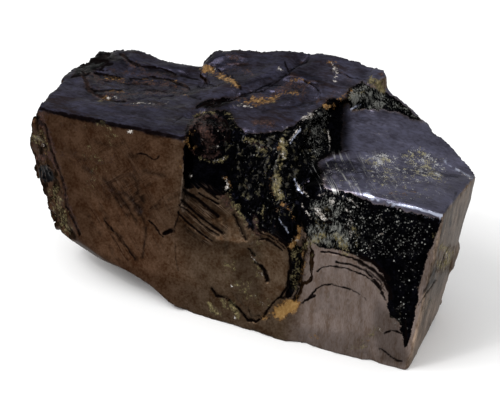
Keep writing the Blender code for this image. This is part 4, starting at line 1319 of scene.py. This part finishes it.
def crust_group():
    """A mineral crust: breaks the soft edge of a mask into grains, and varies the crust's colour."""
    group, inlet, outlet = new_group(
        "crust",
        {
            "Place": ("Vector", None),
            "Amount": ("Float", 0.0),
            "Grain": ("Float", 2500.0),
            "Cover": ("Float", 1.0),
            "Dark": ("Color", (0.02, 0.01, 0.005, 1.0)),
            "Mid": ("Color", (0.2, 0.1, 0.05, 1.0)),
            "Light": ("Color", (0.5, 0.4, 0.3, 1.0)),
        },
        {"Mask": ("Float", None), "Colour": ("Color", None)},
    )
    w = Wiring(group)
    place, amount, grain = inlet["Place"], inlet["Amount"], inlet["Grain"]
    fine = w.noise(place, grain, 4.0, 0.7)
    wide = w.noise(place, w.times(grain, 0.3), 2.0, 0.5)
    elsewhere = w.vector("ADD", place, (0.31, 0.17, 0.05))
    other = w.noise(elsewhere, w.times(grain, 0.7))
    broken = w.plus(w.spread(fine, 2.6), w.spread(wide, 1.8))
    mask = w.times(w.between(w.plus(amount, broken), 0.38, 0.92), inlet["Cover"])
    w.feed(w.times(mask, w.between(amount, 0.02, 0.15)), outlet["Mask"])
    bright = w.plus(other, w.times(amount, 0.12))
    colour = w.blend(w.between(bright, 0.44, 0.60), inlet["Dark"], inlet["Mid"])
    w.feed(w.blend(w.between(bright, 0.62, 0.78), colour, inlet["Light"]), outlet["Colour"])
    return group


def crumb_group():
    """Loose crumbs: each cell of the rock is lit or not, as a round or angular fleck of its own size."""
    group, inlet, outlet = new_group(
        "crumbs",
        {
            "Place": ("Vector", None),
            "Amount": ("Float", 0.0),
            "Cells": ("Float", 1600.0),
            "Size": ("Float", 0.45),
            "Fade": ("Float", 0.4),
        },
        {"Mask": ("Float", None), "Pick": ("Float", None)},
    )
    w = Wiring(group)
    place = inlet["Place"]
    bend = w.vector("MULTIPLY", w.noise(place, inlet["Cells"], 2.0, 0.5, "Color"), (CRUMB_BEND,) * 3)
    bent = w.vector("ADD", place, bend)
    cells = w.node("ShaderNodeTexVoronoi", {"Vector": bent, "Scale": inlet["Cells"]}, feature="F1").outputs
    pick = w.node("ShaderNodeSeparateColor", {0: cells["Color"]}).outputs
    size = w.times(w.maths("POWER", pick[0], 2.0), inlet["Size"])
    disc = w.between(w.minus(size, cells["Distance"]), 0.0, w.times(size, inlet["Fade"]))
    lit = w.between(w.plus(inlet["Amount"], w.minus(pick[1], 1.0)), 0.0, 0.12)
    w.feed(w.times(disc, lit), outlet["Mask"])
    w.feed(pick[2], outlet["Pick"])
    return group


def face_group():
    """The grain of one kind of face: drifts between a dark, a plain and a light tone, drawn out along an axis."""
    group, inlet, outlet = new_group(
        "face grain",
        {
            "Place": ("Vector", None),
            "Stretch": ("Vector", (1.0, 1.0, 1.0)),
            "Broad": ("Float", 300.0),
            "Fine": ("Float", 2400.0),
            "Tone": ("Color", (0.05, 0.05, 0.05, 1.0)),
            "Dark": ("Color", (0.5, 0.5, 0.5, 1.0)),
            "Light": ("Color", (1.6, 1.6, 1.6, 1.0)),
        },
        {"Colour": ("Color", None), "Height": ("Float", None)},
    )
    w = Wiring(group)
    drawn_out = w.vector("MULTIPLY", inlet["Place"], inlet["Stretch"])
    broad = w.noise(drawn_out, inlet["Broad"], 5.0)
    fine = w.noise(drawn_out, inlet["Fine"])
    mixed = w.plus(w.times(broad, 0.55), w.times(fine, 0.45))
    dark, light = (w.blend(1.0, inlet["Tone"], inlet[name], "MULTIPLY") for name in ("Dark", "Light"))
    colour = w.blend(w.between(mixed, 0.39, 0.51), dark, inlet["Tone"])
    w.feed(w.blend(w.between(mixed, 0.49, 0.61), colour, light), outlet["Colour"])
    w.feed(fine, outlet["Height"])
    return group


def line_group():
    """Fine lines side by side: where a noise drawn out along them crosses a set level."""
    group, inlet, outlet = new_group(
        "lines",
        {
            "Place": ("Vector", None),
            "Across": ("Vector", (1.0, 0.0, 0.0)),
            "Along": ("Vector", (0.0, 0.0, 1.0)),
            "Amount": ("Float", 0.0),
            "Fine": ("Float", 900.0),
        },
        {"Dark": ("Float", None), "Light": ("Float", None)},
    )
    w = Wiring(group)
    across, along = (w.vector("DOT_PRODUCT", inlet["Place"], inlet[name], "Value") for name in ("Across", "Along"))
    drawn_out = w.node("ShaderNodeCombineXYZ", {0: across, 1: w.times(along, 0.07)}).outputs[0]
    level = w.noise(drawn_out, inlet["Fine"], 1.5, 0.5)
    elsewhere = w.node("ShaderNodeCombineXYZ", {0: across, 1: w.times(along, 0.35), 2: 0.31}).outputs[0]
    kept = w.between(w.noise(elsewhere, w.times(inlet["Fine"], 0.5), 2.0), 0.38, 0.56)
    amount = w.times(inlet["Amount"], kept)
    for name, crossed, half_width in (("Dark", 0.5, 0.034), ("Light", 0.57, 0.030)):
        away = w.maths("ABSOLUTE", w.minus(level, crossed))
        w.feed(w.times(w.between(away, half_width, 0.0), amount), outlet[name])
    return group


class StoneShader:
    """Builds up the stone's material, one layer over the next."""

    def __init__(self, settings, ways):
        self.settings = settings
        self.ways = ways
        self.material = bpy.data.materials.new("shungite")
        self.material.use_nodes = True
        self.tree = self.material.node_tree
        self.w = Wiring(self.tree)
        self.place = self.w.node("ShaderNodeTexCoord").outputs["Object"]
        self.along, _, self.up = self.w.node("ShaderNodeSeparateXYZ", {0: self.place}).outputs
        self.dither = self.w.spread(self.w.noise(self.place, 2600.0, 3.0, 0.65), 1.1)
        self.groups = {"crust": crust_group(), "crumbs": crumb_group(), "face": face_group(), "lines": line_group()}

    def build(self):
        """The whole material, from the grain of the faces to the glints painted along the edges."""
        w = self.w
        self.tone, *_, self.flecked = self.attribute("tone")
        _, self.slate, self.black, self.end, self.flank = self.attribute("faces")
        _, self.crumbly, self.glint, self.dark, self.turn = self.attribute("finish")
        _, self.lit, self.specked, self.streaked, self.cell = self.attribute("crumbs")
        self.grain_faces()
        self.draw_lines()
        self.darken_cracks()
        covered = self.stain()
        for loose in (self.strew_crumbs(), self.scatter_specks(), self.scatter_flecks()):
            covered = w.most(covered, w.times(loose, 0.7))
        # painted glints: a highlight painted into the colour along the edges
        self.glint = w.between(w.plus(self.glint, w.times(self.dither, 0.45)), 0.15, 0.75)
        self.lay(w.times(self.glint, 0.85), self.screen("painted_glint_tone"))
        self.finish(covered)
        return self.material

    def attribute(self, name):
        """One of the skin's attributes as a colour, and its four values."""
        read = self.w.node("ShaderNodeAttribute", attribute_name=name).outputs
        parts = self.w.node("ShaderNodeSeparateColor", {0: read["Color"]}).outputs
        return read["Color"], *parts[:3], read["Alpha"]

    def screen(self, name):
        """One of the tones in the settings."""
        return solid(getattr(self.settings, name))

    def group(self, kind, **values):
        """Places a group at the stone's own coordinates, with these values or links at its sockets."""
        laid = self.tree.nodes.new("ShaderNodeGroup")
        laid.node_tree = self.groups[kind]
        for socket, value in {"Place": self.place, **values}.items():
            self.w.feed(value, laid.inputs[socket])
        return laid.outputs

    def lay(self, share, tone):
        """Covers a share of the colour so far with this one."""
        self.colour = self.w.blend(share, self.colour, tone)

    def sharpen(self, mask):
        """Breaks the soft edge of a mask into grains."""
        return self.w.between(self.w.plus(mask, self.dither), 0.38, 0.62)

    def reached(self, level, low, high, amount):
        """How far a level has come from low to high, and nothing where there is none of the amount."""
        return self.w.times(self.w.between(level, low, high), self.w.between(amount, 0.02, 0.3))

    def grain_faces(self):
        """Each kind of face, with the grain that it has."""
        w = self.w

        def face(kind, tone, **values):
            return self.group("face", Tone=tone, **FACE_GRAINS[kind], **values)

        front = face("front", self.tone)
        self.colour, self.height = front["Colour"], front["Height"]
        self.lay(w.between(self.along, *SHELL_GRAIN), face("shell", self.tone)["Colour"])
        self.lay(self.sharpen(self.flank), face("flank", self.screen("flank_tone"))["Colour"])
        self.lay(self.sharpen(self.end), face("end", self.tone)["Colour"])
        eastwards = w.between(self.along, EAST_TOP[0] * MM, EAST_TOP[1] * MM)
        dark, light = w.blend(eastwards, *TOP_DARKS), w.blend(eastwards, *TOP_LIGHTS)
        top = face("top", self.tone, Dark=dark, Light=light)
        drift = w.noise(w.vector("MULTIPLY", self.place, (0.22, 0.8, 1.0)), 420.0, 5.0, 0.7)
        rusty = w.times(w.between(drift, 0.52, 0.64), w.between(eastwards, 0.7, 0.2))
        # the slate of the tops: a painted reflection of a pale bluish sky
        self.lay(self.sharpen(self.slate), w.blend(w.times(rusty, 0.65), top["Colour"], self.screen("rusty_slate")))
        # the black: a painted dark reflection
        self.lay(self.sharpen(self.black), face("black", self.screen("black_tone"))["Colour"])

    def draw_lines(self):
        """Scratches, ribs and the fan of ridges, which are finer than the skin's facets, with highlights painted on
        ridges.
        """
        amounts = self.attribute("lines")[1:]
        for amount, (across, along), (_, fine, darken, lighten, ridge, _) in zip(amounts, self.ways, LINE_FAMILIES):
            lines = self.group("lines", Across=across, Along=along, Amount=amount, Fine=fine)
            self.lay(self.w.times(lines["Light"], lighten), self.screen(ridge))
            self.lay(self.w.times(lines["Dark"], darken), self.screen("scratch_and_shade_tone"))

    def darken_cracks(self):
        """Painted shade in the cracks, fading in and out along their run, and in the bottoms of the grooves."""
        w = self.w
        fading = w.plus(w.times(self.dither, 0.35), w.spread(w.noise(self.place, 520.0, 2.0, 0.5), 0.9))
        line = w.between(w.plus(self.dark, fading), 0.15, 0.95)
        self.cracks = w.times(line, w.between(self.dark, 0.02, 0.2))
        self.lay(w.times(self.cracks, 0.93), self.screen("crack_shade_tone"))
        # painted shade where the skin turns inwards on crumbly ground
        grooves = w.times(w.between(self.turn, -0.5, -1.6), w.times(self.crumbly, 0.8))
        self.lay(grooves, self.screen("crack_shade_tone"))

    def stain(self):
        """Stains and crusts, rust the lowest and the pale mineral on top. Returns where they cover the stone."""
        w = self.w
        covered = 0.0
        _, ochre, olive, pale, rust = self.attribute("stains")
        for amount, (tones, grain, cover) in zip((rust, olive, ochre, pale), CRUSTS):
            dark, mid, light = (solid(getattr(self.settings, tones)[at : at + 3]) for at in (0, 3, 6))
            laid = self.group("crust", Amount=amount, Grain=grain, Cover=cover, Dark=dark, Mid=mid, Light=light)
            mask, crust = laid["Mask"], laid["Colour"]
            if tones == "ochre_tones":
                thick = w.times(w.between(amount, 0.92, 1.15), 0.7)
                crust = w.blend(thick, crust, self.screen("thick_ochre"))
                mask = w.most(mask, w.times(thick, 1.2), clamp=True)
            self.lay(mask, crust)
            covered = w.most(covered, mask)
        return covered

    def strew_crumbs(self):
        """Crumbs that mottle the black gloss, painted lit in part on facets and ridges, and the crust that runs down it
        in streaks.
        """
        w = self.w
        olive = w.between(w.noise(self.place, 800.0, 2.0, 0.5), 0.42, 0.58)
        crumb_tone = w.blend(olive, self.screen("crumb_grey"), self.screen("crumb_olive"))
        mottle = w.plus(self.cell, w.spread(w.noise(self.place, 2300.0, 4.0, 0.75), 0.95))
        # paler where the skin turns outwards: painted light on the ridges
        mottle = w.plus(mottle, w.plus(w.times(self.lit, 0.45), w.times(self.turn, 0.06)))
        mottle = self.reached(mottle, 0.93, 1.45, self.lit)
        self.lay(w.times(mottle, 0.72), crumb_tone)
        drawn_down = w.vector("MULTIPLY", self.place, (1.0, 1.0, 0.28))
        fine = w.spread(w.noise(drawn_down, 3000.0, 4.0, 0.7), 3.6)
        wide = w.spread(w.noise(self.place, 450.0), 2.2)
        streaks = self.reached(w.plus(self.streaked, w.plus(fine, wide)), 0.75, 1.50, self.streaked)
        streak_tone = w.blend(w.between(self.up, *PALE_STREAKS), crumb_tone, self.screen("streak_grey"))
        self.lay(w.times(streaks, 0.75), streak_tone)
        # the painted shade of the cracks once more, over the crumbs and streaks
        self.lay(w.times(self.cracks, 0.65), self.screen("crack_shade_tone"))
        return w.most(mottle, streaks)

    def scatter_specks(self):
        """Dust, and round specks of two sizes, on the black gloss."""
        w = self.w
        grey, white = self.screen("speck_grey"), self.screen("speck_white")
        dust = w.between(w.noise(self.place, 1100.0, 5.0, 0.8), 0.52, 0.74)
        self.lay(w.times(w.times(dust, self.specked), 0.5), grey)
        small = self.group("crumbs", Amount=self.specked, Cells=3100.0, Size=1.0, Fade=0.9)
        large = self.group("crumbs", Amount=w.times(self.specked, 0.25), Cells=1200.0, Size=0.50, Fade=0.9)
        self.lay(small["Mask"], w.blend(w.maths("POWER", small["Pick"], 3.0), grey, white))
        self.lay(w.times(large["Mask"], 0.7), w.blend(0.6, grey, white))
        return w.most(small["Mask"], large["Mask"])

    def scatter_flecks(self):
        """Grey and yellow flecks on the slate."""
        w = self.w
        fine = w.spread(w.noise(self.place, 3600.0, 3.0, 0.7), 3.0)
        wide = w.spread(w.noise(self.place, 900.0), 2.4)
        flecks = self.reached(w.plus(w.plus(fine, wide), self.flecked), 0.78, 1.24, self.flecked)
        yellow = w.between(w.noise(self.place, 500.0, 2.0, 0.5), 0.46, 0.54)
        self.lay(w.times(flecks, 0.8), w.blend(yellow, self.screen("fleck_grey"), self.screen("fleck_yellow")))
        return flecks

    def finish(self, covered):
        """The gloss: metallic where the stone is bare, and rougher where it is covered, crumbly or cracked."""
        w = self.w
        shader = self.tree.nodes["Principled BSDF"].inputs
        w.feed(self.colour, shader["Base Color"])
        bare = w.minus(1.0, covered, clamp=True)
        w.feed(w.times(w.minus(1.0, w.times(self.end, 0.15)), bare, clamp=True), shader["Metallic"])
        rough = w.spread(w.noise(self.place, 1500.0), 0.20)
        for mask, change in (
            (self.slate, -0.10),
            (self.black, -0.16),
            (self.flank, 0.60),
            (covered, 0.35),
            (self.cracks, 0.45),
            (self.glint, -0.10),
        ):
            rough = w.plus(rough, w.times(mask, change))
        w.feed(w.plus(rough, PLAIN_ROUGHNESS, clamp=True), shader["Roughness"])
        shader["Specular IOR Level"].default_value = 0.2
        shader["Specular Tint"].default_value = (0.6, 0.6, 0.6, 1.0)
        height = w.plus(w.times(self.height, 0.5), w.times(covered, 0.35))
        bump = w.node("ShaderNodeBump", {"Strength": 0.35, "Distance": BUMP_DEPTH, "Height": height})
        w.feed(bump.outputs[0], shader["Normal"])


def plain_material(name, colour, rough):
    """A flat finish for the stage."""
    material = bpy.data.materials.new(name)
    material.use_nodes = True
    shader = material.node_tree.nodes["Principled BSDF"].inputs
    shader["Base Color"].default_value = tuple(colour) + (1.0,)
    shader["Roughness"].default_value = rough
    return material


# ---------------------------------------------------------------- settings, operators and panel


def tone_property(name, description, default):
    """A screen colour from 0 to 255."""
    return FloatVectorProperty(
        name=name,
        description=description + ", as a screen colour",
        default=default,
        size=3,
        min=0.0,
        max=255.0,
    )


def shades_property(name, description, dark, mid, light):
    """Three screen colours from 0 to 255, from dark to light."""
    return FloatVectorProperty(
        name=name,
        description=description + ": its dark, middle and light shades as screen colours",
        default=dark + mid + light,
        size=9,
        min=0.0,
        max=255.0,
    )


class StoneSettings(bpy.types.PropertyGroup):
    grain: FloatProperty(
        name="Grain",
        description="Size of the cells that the skin is built from",
        default=0.0003,
        min=0.0001,
        unit="LENGTH",
    )
    relief: FloatProperty(name="Relief", description="Strength of the fine relief", default=1.0, min=0.0, max=2.0)
    triangles: IntProperty(name="Triangles", description="Facets of the finished skin", default=194000, min=10000)
    # The front browns are a painted reflection of a brown table, and the slates a painted reflection of a pale bluish
    # sky.
    west_tone: tone_property("Front, west", "Brown gloss of the west front", (51, 35, 24))
    middle_tone: tone_property("Front, middle", "Brown gloss of the middle front", (57, 45, 34))
    east_tone: tone_property("Front, east", "Brown gloss of the shell in the east", (100, 88, 82))
    slate_west: tone_property("Slate, west", "Gloss of the tops at the west end", (46, 44, 54))
    slate_east: tone_property("Slate, east", "Gloss of the tops at the east end", (70, 69, 82))
    rusty_slate: tone_property("Slate, rusty", "Rusty drifts on the tops", (36, 25, 21))
    end_tone: tone_property("End face", "Gloss of the east end", (87, 74, 63))
    flank_tone: tone_property("Flank", "Brown of the crumbly sides", (30, 19, 10))
    # The black is a painted dark reflection.
    black_tone: tone_property("Black", "Gloss of the hollows", (2, 2, 3))
    # Also the painted shade between the ribs.
    scratch_and_shade_tone: tone_property("Scratches", "Dark of the scratches and between the ribs", (18, 9, 6))
    # A highlight painted on the fine ridges.
    ridge_highlight_tone: tone_property("Ridges", "Light on the fine ridges", (98, 82, 70))
    # The colour of the painted shade in the cracks and grooves.
    crack_shade_tone: tone_property("Cracks", "Bottom of the cracks", (9, 5, 5))
    ochre_tones: shades_property("Ochre", "Ochre stain", (44, 28, 12), (108, 78, 40), (146, 118, 78))
    thick_ochre: tone_property("Ochre, thick", "Smooth ochre where it lies thick", (124, 94, 50))
    olive_tones: shades_property("Olive", "Olive crust", (42, 36, 20), (90, 82, 53), (144, 132, 98))
    pale_tones: shades_property("Pale", "Pale mineral", (92, 84, 76), (170, 164, 158), (235, 232, 228))
    rust_tones: shades_property("Rust", "Dark rust", (18, 7, 6), (44, 25, 20), (80, 54, 45))
    # The crumbs' tones paint lit facets on the black gloss in part.
    crumb_grey: tone_property("Crumbs, grey", "Grey crumbs on the black gloss", (76, 74, 70))
    crumb_olive: tone_property("Crumbs, olive", "Olive crumbs on the black gloss", (84, 79, 58))
    streak_grey: tone_property("Streaks, grey", "Pale streaks high on the face", (112, 113, 108))
    speck_grey: tone_property("Specks, grey", "Dim specks", (60, 60, 58))
    speck_white: tone_property("Specks, white", "Bright specks", (160, 160, 154))
    fleck_grey: tone_property("Flecks, grey", "Pale flecks on the slate", (168, 168, 166))
    fleck_yellow: tone_property("Flecks, yellow", "Yellow flecks on the slate", (146, 140, 108))
    # A highlight painted along the edges.
    painted_glint_tone: tone_property("Painted glint", "Highlight painted along the edges", (186, 192, 212))


class StageSettings(bpy.types.PropertyGroup):
    floor_size: FloatProperty(name="Floor", description="Width of the floor", default=4.0, min=1.0, unit="LENGTH")
    floor_tone: FloatVectorProperty(
        name="Floor colour",
        description="Colour of the floor",
        default=(0.90, 0.90, 0.90),
        size=3,
        min=0.0,
        max=1.0,
        subtype="COLOR",
    )
    sky: FloatProperty(name="Sky", description="Brightness of the surroundings", default=0.95, min=0.0)
    key: FloatProperty(name="Key light", description="Power of the soft key light", default=2.2, min=0.0, unit="POWER")
    glint: FloatProperty(
        name="Glint light",
        description="Power of the small light",
        default=0.35,
        min=0.0,
        unit="POWER",
    )


class OBJECT_OT_shungite_stone(bpy.types.Operator):
    """Build the stone's finished skin in place of the plain solid"""

    bl_idname = "object.shungite_stone"
    bl_label = "Shungite Stone"

    def execute(self, context):
        settings = context.scene.shungite_stone
        view = ViewFrame()
        solid_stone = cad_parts["shungite_stone"]
        piece = skin_of(solid_stone, "stone_skin")
        rebuild(piece, settings.grain)
        skin = Skin(piece.data)
        skin.relax(RELAX_ROUNDS, RELAX_SHARPNESS)
        shown = work_relief(skin, view, settings.relief)
        keep_inside(skin, *CAD_BOX)
        thin_out(piece, shown, settings.triangles)
        skin = Skin(piece.data)
        keep_inside(skin, *CAD_BOX)
        paint_skin(skin, view, settings)
        piece.data.shade_smooth()
        piece.data.materials.clear()
        piece.data.materials.append(StoneShader(settings, line_ways(solid_stone, view)).build())
        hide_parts("shungite_stone")
        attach(piece, "root")
        return {"FINISHED"}


class OBJECT_OT_shungite_stage(bpy.types.Operator):
    """Lay the pale floor, hang the lights and set up the camera"""

    bl_idname = "object.shungite_stage"
    bl_label = "Stage"

    def execute(self, context):
        settings = context.scene.shungite_stage
        scene = context.scene
        scene.view_settings.view_transform = "Standard"
        self.lay_floor(scene, settings)
        self.light_sky(scene, settings)
        self.hang_light(scene, "key light", *KEY_LIGHT, settings.key)
        self.hang_light(scene, "glint light", *GLINT_LIGHT, settings.glint)
        self.set_camera(scene)
        return {"FINISHED"}

    def lay_floor(self, scene, settings):
        """A flat sheet under the stone."""
        shape = bmesh.new()
        bmesh.ops.create_grid(shape, x_segments=1, y_segments=1, size=settings.floor_size / 2.0)
        mesh = bpy.data.meshes.new("floor")
        shape.to_mesh(mesh)
        shape.free()
        floor = bpy.data.objects.new("floor", mesh)
        scene.collection.objects.link(floor)
        mesh.materials.append(plain_material("pale floor", settings.floor_tone, FLOOR_ROUGHNESS))

    def light_sky(self, scene, settings):
        """Even white light from all around."""
        world = bpy.data.worlds.new("pale surroundings")
        world.use_nodes = True
        background = world.node_tree.nodes["Background"].inputs
        background["Color"].default_value = (1.0, 1.0, 1.0, 1.0)
        background["Strength"].default_value = settings.sky
        scene.world = world

    def hang_light(self, scene, name, place, size, power):
        """A square light at this place that points at the stone."""
        light = bpy.data.lights.new(name, "AREA")
        light.size = size
        light.energy = power
        lamp = bpy.data.objects.new(name, light)
        lamp.location = place
        lamp.rotation_euler = Vector(place).to_track_quat("Z", "Y").to_euler()
        scene.collection.objects.link(lamp)

    def set_camera(self, scene):
        """The camera of the frame that the places on the stone are given in."""
        view = ViewFrame()
        camera = bpy.data.cameras.new("camera")
        camera.lens = VIEW_LENS
        camera.sensor_width = VIEW_SENSOR
        camera.clip_start = 0.01
        stand = bpy.data.objects.new("camera", camera)
        turned = Matrix((view.right, view.up, view.back)).transposed().to_4x4()
        stand.matrix_world = Matrix.Translation(Vector(view.eye) * MM) @ turned
        scene.collection.objects.link(stand)
        scene.camera = stand


class VIEW3D_PT_shungite(bpy.types.Panel):
    """Lists the sizes and colours of the stone and its stage"""

    bl_label = "Shungite Stone"
    bl_idname = "VIEW3D_PT_shungite"
    bl_space_type = "VIEW_3D"
    bl_region_type = "UI"
    bl_category = "Shungite"

    def draw(self, context):
        for settings in (context.scene.shungite_stone, context.scene.shungite_stage):
            box = self.layout.box()
            for name in settings.__annotations__:
                box.prop(settings, name)
        self.layout.operator("object.shungite_stone")
        self.layout.operator("object.shungite_stage")


CLASSES = (StoneSettings, StageSettings, OBJECT_OT_shungite_stone, OBJECT_OT_shungite_stage, VIEW3D_PT_shungite)


def register():
    """Adds the classes and the settings to Blender."""
    for made in CLASSES:
        bpy.utils.register_class(made)
    bpy.types.Scene.shungite_stone = PointerProperty(type=StoneSettings)
    bpy.types.Scene.shungite_stage = PointerProperty(type=StageSettings)


def unregister():
    """Takes them out again."""
    del bpy.types.Scene.shungite_stage
    del bpy.types.Scene.shungite_stone
    for made in reversed(CLASSES):
        bpy.utils.unregister_class(made)


def main():
    """Builds the stage and the stone."""
    register()
    bpy.ops.object.shungite_stage()
    bpy.ops.object.shungite_stone()


if __name__ == "__main__":
    main()
